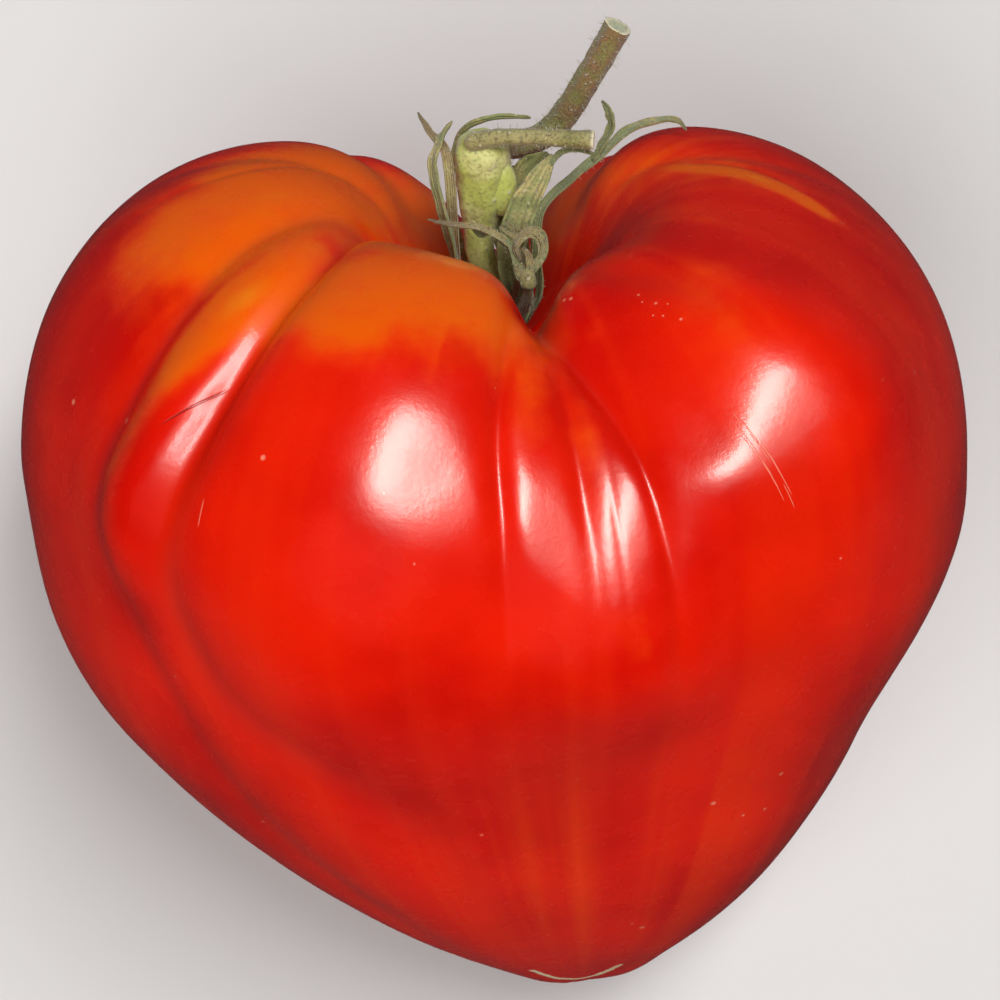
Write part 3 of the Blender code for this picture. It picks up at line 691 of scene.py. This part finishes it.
# %% [markdown]
# ## Sepals
#
# A sepal is a thin green leaf. On a picked fruit it dries: it narrows, curls along its length and turns
# straw brown from the tip. A flat strip with a Solidify modifier would stay too even, so each blade is a
# stack of thin lens-shaped rings along a curve, with its edges folded up and crinkled by noise. The
# curves are the same points that shaped the solid calyx, so the blades stay where the solid has them.

# %% The sepals' lines
# Half width, half thickness, which way the blade faces, then points in the fruit's own frame
SEPALS = {
    "long left": (0.75, 0.45, (-0.8, -0.6, 0.2), (
        (-1.2, -0.8, 82.2), (-3.6, -3.0, 86.5), (-5.0, -4.2, 94.0), (-6.2, -5.0, 99.5),
        (-7.2, -4.2, 104.0), (-6.4, -2.6, 106.8), (-5.2, -0.6, 108.2))),
    "dry stripe": (0.65, 0.4, (-0.3, -0.9, 0.2), (
        (-1.0, 0.2, 82.2), (-4.2, -1.0, 87.5), (-5.0, -2.4, 95.0), (-5.3, -3.6, 101.0),
        (-5.9, -2.6, 105.4), (-7.6, 0.4, 106.4), (-9.2, 4.0, 107.6))),
    "thread across the front": (0.45, 0.4, (0.0, -0.7, 0.7), (
        (0.6, -1.0, 82.2), (1.6, -4.2, 88.0), (2.2, -8.2, 94.6), (0.6, -9.2, 97.2), (-2.2, -9.2, 98.8),
        (-5.5, -8.2, 98.8), (-8.1, -7.0, 99.0))),
    "long right": (0.65, 0.45, (-0.3, -0.5, 0.8), (
        (1.3, -0.2, 82.2), (4.4, -2.2, 87.5), (4.3, -3.6, 93.5), (4.6, -1.8, 97.8), (8.1, 2.8, 100.0),
        (11.6, 7.0, 101.4), (14.6, 10.0, 103.1), (18.0, 12.0, 103.6), (20.2, 12.2, 103.6),
        (21.4, 11.0, 102.8))),
    "broad blade": (1.7, 0.42, (-0.1, -0.9, 0.4), (
        (0.8, -0.6, 82.2), (2.2, -3.4, 87.5), (1.3, -4.6, 94.0), (2.4, -4.2, 98.6), (4.2, -3.6, 102.2),
        (6.0, -2.4, 105.0))),
    "standing curl": (0.6, 0.4, (-0.7, -0.5, 0.2), (
        (10.4, 5.4, 100.8), (11.4, 5.8, 102.6), (12.7, 6.0, 105.2), (12.3, 6.0, 107.0), (11.4, 7.0, 108.0))),
    "thin arch": (0.4, 0.38, (0.2, -0.6, 0.7), (
        (5.2, -3.2, 103.4), (6.6, -2.6, 105.0), (8.4, -3.0, 105.6), (10.6, -3.0, 105.0))),
    "dry curl at the front": (0.5, 0.38, (0.3, -0.9, 0.2), (
        (1.2, -0.8, 82.2), (3.4, -4.0, 87.0), (3.0, -7.4, 92.6), (4.6, -8.6, 95.4), (4.5, -8.6, 97.8),
        (2.8, -9.0, 98.4), (1.6, -9.6, 96.6), (2.4, -10.2, 95.0))),
    "dry end in the notch": (0.75, 0.5, (0.2, -0.9, 0.2), (
        (0.9, -1.2, 82.2), (2.0, -5.4, 87.0), (2.8, -8.8, 90.6), (3.0, -10.6, 93.0))),
    "arch at the back": (0.5, 0.4, (0.0, 0.5, 0.8), (
        (-0.6, 1.2, 82.2), (-3.6, 4.6, 88.0), (-5.6, 5.2, 97.0), (-4.4, 4.4, 104.4), (-2.0, 3.6, 106.6),
        (0.8, 3.9, 107.0), (3.6, 4.1, 106.8))),
    "folded back": (1.1, 0.42, (0.3, 0.4, 0.8), (
        (0.8, 1.0, 82.2), (3.4, 4.8, 87.6), (3.6, 8.4, 93.0), (2.4, 12.6, 96.0), (1.4, 17.0, 96.4))),
    "leaf behind the knuckle": (2.1, 0.4, (-0.3, -0.8, 0.5), (
        (0.6, 0.4, 83.0), (2.0, 0.6, 90.0), (1.4, 0.4, 95.5), (2.4, 0.6, 99.6), (4.0, 1.0, 102.0),
        (5.6, 1.6, 103.6))),
    "dry loop": (0.5, 0.36, (0.2, -0.9, 0.3), (
        (0.5, -8.6, 97.7), (1.7, -9.4, 95.0), (3.3, -9.9, 94.3), (4.5, -9.6, 95.8), (4.2, -9.0, 97.6),
        (2.9, -9.3, 98.1), (1.8, -9.9, 96.9), (2.4, -10.3, 95.2))),
    "dry curl below": (0.55, 0.36, (0.4, -0.9, 0.1), (
        (-0.2, -8.4, 99.1), (1.3, -9.4, 96.4), (2.2, -10.5, 93.6), (3.8, -10.2, 94.9), (4.9, -9.4, 96.8),
        (4.4, -8.4, 98.6))),
    "dry shred": (0.4, 0.34, (-0.2, -0.9, 0.3), (
        (0.4, -6.0, 98.8), (2.0, -7.6, 97.6), (3.6, -8.0, 98.2), (4.8, -8.2, 96.9), (5.2, -8.8, 95.4))),
    "dry twist": (0.36, 0.32, (0.1, -0.9, 0.2), (
        (-0.3, -8.6, 98.9), (1.7, -9.3, 97.9), (3.3, -9.0, 98.6), (4.7, -9.4, 97.3), (4.3, -9.8, 95.4),
        (2.9, -10.0, 94.9))),
    "dry shred on the left": (0.4, 0.32, (0.2, -0.9, 0.3), (
        (-3.3, -8.0, 98.9), (-2.2, -8.3, 97.7), (-0.9, -8.5, 98.2), (0.6, -8.8, 96.6), (1.4, -9.2, 95.2))),
    "dry crumb": (0.45, 0.36, (-0.2, -0.9, 0.2), (
        (1.6, -10.3, 95.6), (2.3, -10.7, 93.9), (3.3, -10.6, 94.6), (3.1, -10.2, 96.2), (2.2, -10.0, 97.0))),
}
BLADE_SIDES = 20
BLADE_RINGS_PER_MM = 3.0
BLADE_OUTLINE = (0.6, 0.8, 0.95, 1.0, 0.95, 0.7, 0.25)
BLADE_FLATNESS = 0.62
BLADE_FOLD = 0.55
CRINKLE = 0.42
CRINKLES_ALONG = 14
CRINKLES_ACROSS = 1.3


def line_frame(points, share, facing):
    """Places along a line, with the directions ahead, across and up there."""
    step = 0.01
    path = line_through(points, share)
    ahead = line_through(points, share + step) - line_through(points, share - step)
    ahead = ahead / np.linalg.norm(ahead, axis=-1, keepdims=True)
    across = np.cross(ahead, np.array(facing, float))
    across = across / np.linalg.norm(across, axis=-1, keepdims=True)
    return path, ahead, across, np.cross(across, ahead)


def line_length(points):
    return np.linalg.norm(np.diff(line_through(points, np.linspace(0, 1, 60)), axis=0), axis=-1).sum()


def blade(name, half_width, half_thickness, facing, points):
    """A dried sepal: lens-shaped rings, folded along the middle, with crinkled edges."""
    rings = max(16, int(BLADE_RINGS_PER_MM * line_length(points)))
    share = np.linspace(0, 1, rings + 2)[1:-1]
    path, _, across, up = line_frame(points, share, facing)
    angle = np.linspace(0, 2 * math.pi, BLADE_SIDES, endpoint=False)[None, :]
    ends = np.sqrt(np.clip(1 - np.abs(2 * share - 1) ** 10, 0, 1))[:, None]
    width = np.interp(share, np.linspace(0, 1, len(BLADE_OUTLINE)), BLADE_OUTLINE)[:, None] * half_width
    width = np.maximum(width, 0.5 * half_thickness) * ends
    thickness = BLADE_FLATNESS * half_thickness * ends
    out = np.cos(angle)
    seed = sum(map(ord, name)) * 0.37
    grid = np.stack(np.broadcast_arrays(
        CRINKLES_ALONG * share[:, None] + seed, CRINKLES_ACROSS * out, np.array(seed)), -1)
    ripple = uneven(grid, 1.0)
    lift = BLADE_FOLD * width * np.abs(out) ** 1.5 + CRINKLE * half_width * ripple * np.abs(out)
    offset = across[:, None] * (width * out)[..., None]
    offset = offset + up[:, None] * (thickness * np.sin(angle) + lift)[..., None]
    places = as_it_lies(path[:, None] + offset)
    mesh, _ = closed_mesh(name, places, as_it_lies(path[0]), as_it_lies(path[-1]))
    store(mesh, "along", np.concatenate([np.repeat(share, BLADE_SIDES), [0, 1]]))
    store(mesh, "across", np.concatenate([np.tile(out[0], rings), [0, 0]]))
    return mesh


# %% [markdown]
# ## What the calyx and the stalk look like
#
# Close up they are dull, blue green where fresh, straw where dry, and ribbed lengthwise. One recipe
# serves them all: a fresh colour, a dry colour, a mask that says where it has dried, and mottling in the
# size of the plant's cells. There is no gloss to speak of, only a faint sheen from the hairs.

# %% A recipe for the plant's green parts
VEINS_ACROSS = 15.0
PALE_SPECK = (0.52, 0.46, 0.28)


def plant_finish(name, fresh, dry, dark, dried, per_mm=1.2, tall=0.05):
    """A dull, mottled green finish. Dried is the share of dry colour at its start and its end."""
    g = Finish(name, Roughness=0.72, Subsurface_Weight=0.08, Subsurface_Scale=0.001, Sheen_Weight=0.25,
               Sheen_Roughness=0.5)
    patches = g.noise(0.35 * per_mm, 3.0)
    grain = g.noise(3.0 * per_mm, 3.0)
    dryness = g.number("ADD", g.spread(g.kept("along"), 0.0, 1.0, dried[0], dried[1], smooth=False),
                       g.spread(patches, 0.3, 0.7, -0.3, 0.3))
    veins = g.number("COSINE", g.number("MULTIPLY", g.kept("across"), VEINS_ACROSS))
    specks, _ = g.spots(0.9 * per_mm)
    shade = g.mix(g.spread(dryness, 0.2, 0.8), fresh, dry)
    shade = g.mix(g.spread(grain, 0.48, 0.68, 0.0, 0.65), shade, dark)
    shade = g.mix(g.spread(veins, 0.2, -0.9, 0.0, 0.18), shade, dark)
    shade = g.mix(g.spread(specks, 0.22, 0.12, 0.0, 0.6), shade, PALE_SPECK)
    g.links.new(shade, g.shader.inputs["Base Color"])
    g.relief((veins, 1.2 * tall), (grain, tall), (patches, 3 * tall), (g.spread(specks, 0.3, 0.1), tall))
    return g


SEPAL_GREEN = (0.24, 0.27, 0.085)
SEPAL_STRAW = (0.44, 0.37, 0.14)
SEPAL_DARK = (0.12, 0.10, 0.04)
SEPAL_BROWN = (0.36, 0.26, 0.10)
green_sepal = plant_finish("sepal_half_dry", SEPAL_GREEN, SEPAL_STRAW, SEPAL_DARK, (-0.1, 0.6))
straw_sepal = plant_finish("sepal_dry", SEPAL_STRAW, SEPAL_BROWN, SEPAL_DARK, (0.0, 0.8))
DRY_SEPALS = ("dry stripe", "dry curl at the front", "dry end in the notch", "thread across the front",
              "dry loop", "dry shred", "dry twist", "dry crumb")

# %% The blades as pieces
for name, (half_width, half_thickness, facing, points) in SEPALS.items():
    mesh = blade(name, half_width, half_thickness, facing, points)
    finish = straw_sepal if name in DRY_SEPALS else green_sepal
    sepal = add_piece("sepal_" + name.replace(" ", "_"), mesh, finish.material)
    print(sepal.name, "is %.0f mm long" % line_length(points))

# %% [markdown]
# ## The stalk
#
# The tomato was cut from its truss: a swollen joint, the knuckle, sits on the calyx, with one stem cut
# clean and another broken off. Blender's curves with a bevel make even tubes. These are rings again, so
# that each radius can swell, and noise can make the skin bumpy and ribbed. A cut end has a rim of wood
# and a pith that has sunk a little, and the mesh's "along" number tells the material which is which.

# %% The lines of the knuckle and the two stems
KNUCKLE_POINTS = (
    (-0.2, 0.0, 84.0), (-0.8, 0.0, 87.5), (-2.3, 0.0, 92.6), (-2.3, 0.0, 95.6), (-2.1, 0.0, 98.6),
    (-2.0, 0.0, 101.5), (-2.0, -0.2, 104.4), (-1.9, -0.6, 107.0),
)
KNUCKLE_RADII = (1.9, 1.7, 1.6, 1.9, 2.6, 3.0, 3.1, 2.2)
LUMP_POINTS = (
    (0.3, -0.9, 97.0), (0.3, -0.9, 98.6), (0.3, -0.9, 100.2), (0.3, -0.9, 101.8), (0.3, -0.9, 103.4),
)
LUMP_RADII = (0.9, 1.4, 1.6, 1.4, 0.9)
STEM_POINTS = (
    (-1.4, 1.0, 104.4), (1.2, 4.6, 103.4), (4.2, 6.8, 103.4), (6.9, 7.2, 105.6), (10.2, 6.2, 111.4),
    (13.2, 5.2, 117.4),
)
STEM_RADII = (1.7, 1.6, 1.5, 1.52, 1.5, 1.55)
STUB_POINTS = ((-3.9, -1.9, 105.9), (-0.4, -2.7, 106.9), (3.3, -3.1, 107.1), (10.6, -4.0, 107.1))
STUB_RADII = (1.2, 1.02, 0.95, 1.05)
KNOB_POINTS = ((2.8, -10.2, 94.6), (2.9, -10.7, 93.8), (3.0, -11.1, 93.1), (3.0, -11.2, 92.4))
KNOB_RADII = (0.5, 0.85, 0.95, 0.7)

# %% A length of stalk
STALK_RINGS_PER_MM = 4
STALK_FACING = (0, -1, 0.1)
ROUNDED_PART = 1 / 8
BUMP_LENGTH = 1.5
FINE_BUMP_LENGTH = 0.6
RIB_HEIGHT = 0.035
WOOD, PITH = 2.0, 3.0
# How far out each ring of a cut end lies, how high above the cut in millimetres, and what it shows
CUT_END = ((1.0, 0.05, WOOD), (0.84, 0.082, WOOD), (0.5, -0.075, PITH))
PITH_DEPTH = 0.12


def round_off(share):
    """0 at the end of a line and 1 further along it, so that a tube closes like a fingertip."""
    return np.sqrt(1 - np.clip(1 - share / ROUNDED_PART, 0, 1) ** 2)[:, None]


def stalk_length(name, points, radii, sides, bump, ribs=0, flat_end=False):
    """A length of stalk: rings with their own radii, uneven, ribbed, and cut flat if asked."""
    rings = int(STALK_RINGS_PER_MM * line_length(points))
    share = np.linspace(0, 1, rings + 2)[1:-1]
    path, ahead, across, up = line_frame(points, share, STALK_FACING)
    angle = np.linspace(0, 2 * math.pi, sides, endpoint=False)[None, :]
    radius = line_through(np.array(radii)[:, None], share)[..., 0][:, None]
    closing = round_off(share) * (1.0 if flat_end else round_off(1 - share))
    direction = across[:, None] * np.cos(angle)[..., None] + up[:, None] * np.sin(angle)[..., None]
    surface = path[:, None] + direction * radius[..., None]
    swell = 1 + bump * uneven(surface, BUMP_LENGTH) + 0.5 * bump * uneven(surface, FINE_BUMP_LENGTH)
    if ribs:
        swell = swell + RIB_HEIGHT * np.cos(ribs * angle)
    places = path[:, None] + direction * (radius * swell * closing)[..., None]
    last = path[-1]
    alongs = list(share)
    if flat_end:
        spokes = places[-1] - path[-1]
        cut_rings = [path[-1] + out * spokes + height * ahead[-1] for out, height, _ in CUT_END]
        places = np.concatenate([places, cut_rings])
        alongs += [shown for _, _, shown in CUT_END]
        last = path[-1] - PITH_DEPTH * ahead[-1]
    mesh, _ = closed_mesh(name, as_it_lies(places), as_it_lies(path[0]), as_it_lies(last))
    store(mesh, "along", np.concatenate([np.repeat(alongs, sides), [0, PITH if flat_end else 1]]))
    return mesh


# %% The stalk's finishes
KNUCKLE_GREEN = (0.40, 0.43, 0.085)
KNUCKLE_PALE = (0.54, 0.53, 0.20)
KNUCKLE_DARK = (0.25, 0.25, 0.06)
STEM_OLIVE = (0.18, 0.165, 0.042)
STEM_BROWN = (0.21, 0.12, 0.045)
STEM_DARK = (0.07, 0.05, 0.018)
STUB_STRAW = (0.30, 0.26, 0.10)
CUT_WOOD = (0.62, 0.57, 0.38)
CUT_PITH = (0.42, 0.42, 0.26)
knuckle_finish = plant_finish(
    "knuckle_skin", KNUCKLE_GREEN, KNUCKLE_PALE, KNUCKLE_DARK, (0.3, 0.5), 0.8, 0.08
)
stem_finish = plant_finish("stem_skin", STEM_OLIVE, STEM_BROWN, STEM_DARK, (0.2, 0.6), 1.4, 0.16)
stub_finish = plant_finish("stub_skin", STUB_STRAW, STEM_OLIVE, STEM_DARK, (0.1, 0.4), 1.0, 0.09)


def show_the_cut(finish, from_here):
    """Colours the cut end of a stem from that share of its length: pale wood round a darker pith."""
    g = finish
    socket = g.shader.inputs["Base Color"]
    bark = socket.links[0].from_socket
    along = g.kept("along")
    wood = g.mix(g.spread(along, WOOD + 0.1, WOOD + 0.6), CUT_WOOD, CUT_PITH)
    g.links.new(g.mix(g.spread(along, from_here, from_here + 0.02), bark, wood), socket)


show_the_cut(stem_finish, 1.2)
show_the_cut(stub_finish, 0.965)

# %% The stalk's pieces
# Name, points, radii, sides, unevenness, ribs, whether it is cut flat, finish and slot
STALK_PIECES = (
    ("knuckle", KNUCKLE_POINTS, KNUCKLE_RADII, 64, 0.07, 5, False, knuckle_finish, "stem"),
    ("knuckle_lump", LUMP_POINTS, LUMP_RADII, 40, 0.10, 0, False, knuckle_finish, "stem"),
    ("cut_stem", STEM_POINTS, STEM_RADII, 40, 0.08, 6, True, stem_finish, "stem"),
    ("broken_stub", STUB_POINTS, STUB_RADII, 32, 0.10, 5, True, stub_finish, "stem"),
    ("dry_knob", KNOB_POINTS, KNOB_RADII, 24, 0.15, 0, False, stub_finish, "sepal"),
)
for name, points, radii, sides, bump, ribs, flat_end, finish, slot in STALK_PIECES:
    mesh = stalk_length(name, points, radii, sides, bump, ribs, flat_end)
    add_piece(name, mesh, finish.material)
    print(name, "is %.0f mm long" % line_length(points))
cut_stem = bpy.data.objects["cut_stem"]
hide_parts("stalk")

# %% The calyx's disc
DISC_CENTRE = (0.0, 0.0, 82.2)
DISC_RADIUS = 3.4
DISC_HALF_HEIGHT = 1.4
DISC_RINGS = 24
DISC_SIDES = 48
DISC_LOBES = 5
LOBE_HEIGHT = 0.10

from_top = np.linspace(0, math.pi, DISC_RINGS + 2)[1:-1, None]
disc_angle = np.linspace(0, 2 * math.pi, DISC_SIDES, endpoint=False)[None, :]
disc_radius = DISC_RADIUS * np.sin(from_top) * (1 + LOBE_HEIGHT * np.cos(DISC_LOBES * disc_angle))
disc_height = DISC_HALF_HEIGHT * np.cos(from_top) + 0 * disc_angle
disc_rings = np.stack(
    [disc_radius * np.cos(disc_angle), disc_radius * np.sin(disc_angle), disc_height], -1
) + np.array(DISC_CENTRE)
disc_top = np.array(DISC_CENTRE) + (0, 0, DISC_HALF_HEIGHT)
disc_foot = np.array(DISC_CENTRE) - (0, 0, DISC_HALF_HEIGHT)
disc_mesh, _ = closed_mesh("calyx_disc", as_it_lies(disc_rings), as_it_lies(disc_top), as_it_lies(disc_foot))
store(disc_mesh, "along", np.zeros(len(disc_mesh.vertices)))
calyx_disc = add_piece("calyx_disc", disc_mesh, green_sepal.material)
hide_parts("calyx")

# %% [markdown]
# ## Hairs
#
# Tomato plants are hairy, and the hairs catch the light along the edges of the stem and the sepals.
# Blender's hair system would grow them, but it doesn't come along when the model is exported. So each
# hair is a tiny tapered spike of three sides, planted on a face chosen by a seeded random generator.

# %% Grow the hairs
HAIR_THICKNESS = 0.05
HAIR_ROOT = 0.05
HAIR_LEAN = 0.35
HAIR_LENGTHS = (0.5, 1.3)
HAIR_PALE = (0.62, 0.62, 0.50)
HAIR_BROWN = (0.38, 0.36, 0.22)
HAIR_SEED = 11
SPIKE = ((0, 1, 3), (1, 2, 3), (2, 0, 3), (2, 1, 0))


def grow_hairs(name, root_pieces, count, length, material):
    """Many short spikes that stand on the faces of some pieces, joined into one piece."""
    chance = np.random.default_rng(HAIR_SEED)
    points, faces = [], []
    roots = [face for piece in root_pieces for face in piece.data.polygons]
    areas = np.array([root.area for root in roots])
    for k in chance.choice(len(roots), size=count, p=areas / areas.sum()):
        place, normal = roots[k].center.copy(), roots[k].normal.copy()
        side = normal.orthogonal().normalized()
        lean = Vector(chance.normal(0, HAIR_LEAN, 3))
        tall = length * chance.uniform(*HAIR_LENGTHS) * MM
        first = len(points)
        for turn in range(3):
            spoke = side.copy()
            spoke.rotate(Quaternion(normal, turn * 2 * math.pi / 3))
            points.append(place - normal * HAIR_ROOT * MM + spoke * HAIR_THICKNESS * MM)
        points.append(place + (normal + lean).normalized() * tall)
        faces += [tuple(first + corner for corner in face) for face in SPIKE]
    mesh = bpy.data.meshes.new(name)
    mesh.from_pydata([tuple(point) for point in points], [], faces)
    mesh.shade_smooth()
    return add_piece(name, mesh, material)


hair_finish = Finish("plant_hair", Roughness=0.5, Subsurface_Weight=0.1, Subsurface_Scale=0.001)
hair_colour = hair_finish.mix(hair_finish.noise(2.0), HAIR_PALE, HAIR_BROWN)
hair_finish.links.new(hair_colour, hair_finish.shader.inputs["Base Color"])
stem_pieces = [cut_stem, bpy.data.objects["broken_stub"]]
sepal_pieces = [piece for piece in bpy.data.objects if piece.name.startswith("sepal_")]
grow_hairs("stem_hairs", stem_pieces, 520, 0.75, hair_finish.material)
grow_hairs("sepal_hairs", sepal_pieces, 620, 0.45, hair_finish.material)
print("hairs on", len(stem_pieces), "lengths of stem and", len(sepal_pieces), "sepals")

# %% [markdown]
# ## Floor, light and camera
#
# The photograph looks straight down on the fruit as it lies, from less than half a metre. A soft light
# stands beside the camera, towards the stalk and the right: it shows as a bright window on each lobe.
# The window has a bright middle and a dimmer surround, so there are two panels, and a third, the glint,
# shows in reflections alone. A wide fill from the lower left shows in none of them, and only lifts the
# shadows. The floor is pale and plain, and reflections don't show it, because on a glossy skin it would
# lie as a grey veil over the red.

# %% A pale floor
FLOOR_SIZE = 6.0
FLOOR_GREYS = ((0.55, 0.54, 0.53), (0.58, 0.57, 0.56))

bpy.ops.mesh.primitive_plane_add(size=FLOOR_SIZE, location=(0, 0, 0))
floor = bpy.context.object
floor.name = "floor"
floor_finish = Finish("pale_floor", Roughness=0.65)
floor_colour = floor_finish.mix(floor_finish.noise(0.004), *FLOOR_GREYS)
floor_finish.links.new(floor_colour, floor_finish.shader.inputs["Base Color"])
floor.data.materials.append(floor_finish.material)
floor.visible_glossy = False

# %% The camera
PHOTO_PIXELS = 1000
PIXELS_PER_MM = 8.66
AXIS_POINT = (0.0, 0.0, BELLY_HEIGHT)
AXIS_PIXEL_ROW = 440
CAMERA_DISTANCE = 0.380
SENSOR = 36.0

aim = Vector(as_it_lies(AXIS_POINT))
camera_data = bpy.data.cameras.new("camera")
camera_data.sensor_width = SENSOR
camera_data.lens = SENSOR * CAMERA_DISTANCE / (PHOTO_PIXELS / PIXELS_PER_MM * MM)
camera_data.shift_y = (AXIS_PIXEL_ROW - PHOTO_PIXELS / 2) / PHOTO_PIXELS
camera_data.clip_start = 0.01
camera = bpy.data.objects.new("camera", camera_data)
camera.location = aim + Vector((0, 0, CAMERA_DISTANCE))
bpy.context.scene.collection.objects.link(camera)
bpy.context.scene.camera = camera
print("lens of %.0f mm, shifted by %.2f" % (camera_data.lens, camera_data.shift_y))

# %% The lights
LIGHT_DISTANCE = 1.8


def panel(name, to_the_right, to_the_stalk, width, height, watts):
    """A rectangular light panel, placed by its angles from the camera's line, in degrees."""
    direction = Vector((math.tan(math.radians(to_the_right)), math.tan(math.radians(to_the_stalk)), 1.0))
    light = bpy.data.lights.new(name, "AREA")
    light.shape = "RECTANGLE"
    light.size = width
    light.size_y = height
    light.energy = watts
    lamp = bpy.data.objects.new(name, light)
    lamp.location = aim + direction.normalized() * LIGHT_DISTANCE
    lamp.rotation_euler = direction.to_track_quat("Z", "Y").to_euler()
    bpy.context.scene.collection.objects.link(lamp)
    return lamp


# Name, angles to the right and towards the stalk, width and height in metres, watts
panel("window_middle", 13, 21, 0.40, 0.92, 20.0)
panel("window_surround", 15, 15, 0.80, 1.10, 7.5)
window_glint = panel("window_glint", 12, 22, 0.28, 0.76, 16.0)
window_glint.visible_diffuse = False
front_fill = panel("front_fill", -16, -25, 1.6, 1.4, 26.0)
front_fill.visible_glossy = False

# %% The room's faint light, and plain colours
STUDIO_WHITE = (0.95, 0.97, 1.0, 1.0)
STUDIO_STRENGTH = 0.04

world = bpy.data.worlds.new("studio")
bpy.context.scene.world = world
world.use_nodes = True
background = world.node_tree.nodes["Background"]
background.inputs["Color"].default_value = STUDIO_WHITE
background.inputs["Strength"].default_value = STUDIO_STRENGTH
bpy.context.scene.view_settings.view_transform = "Standard"
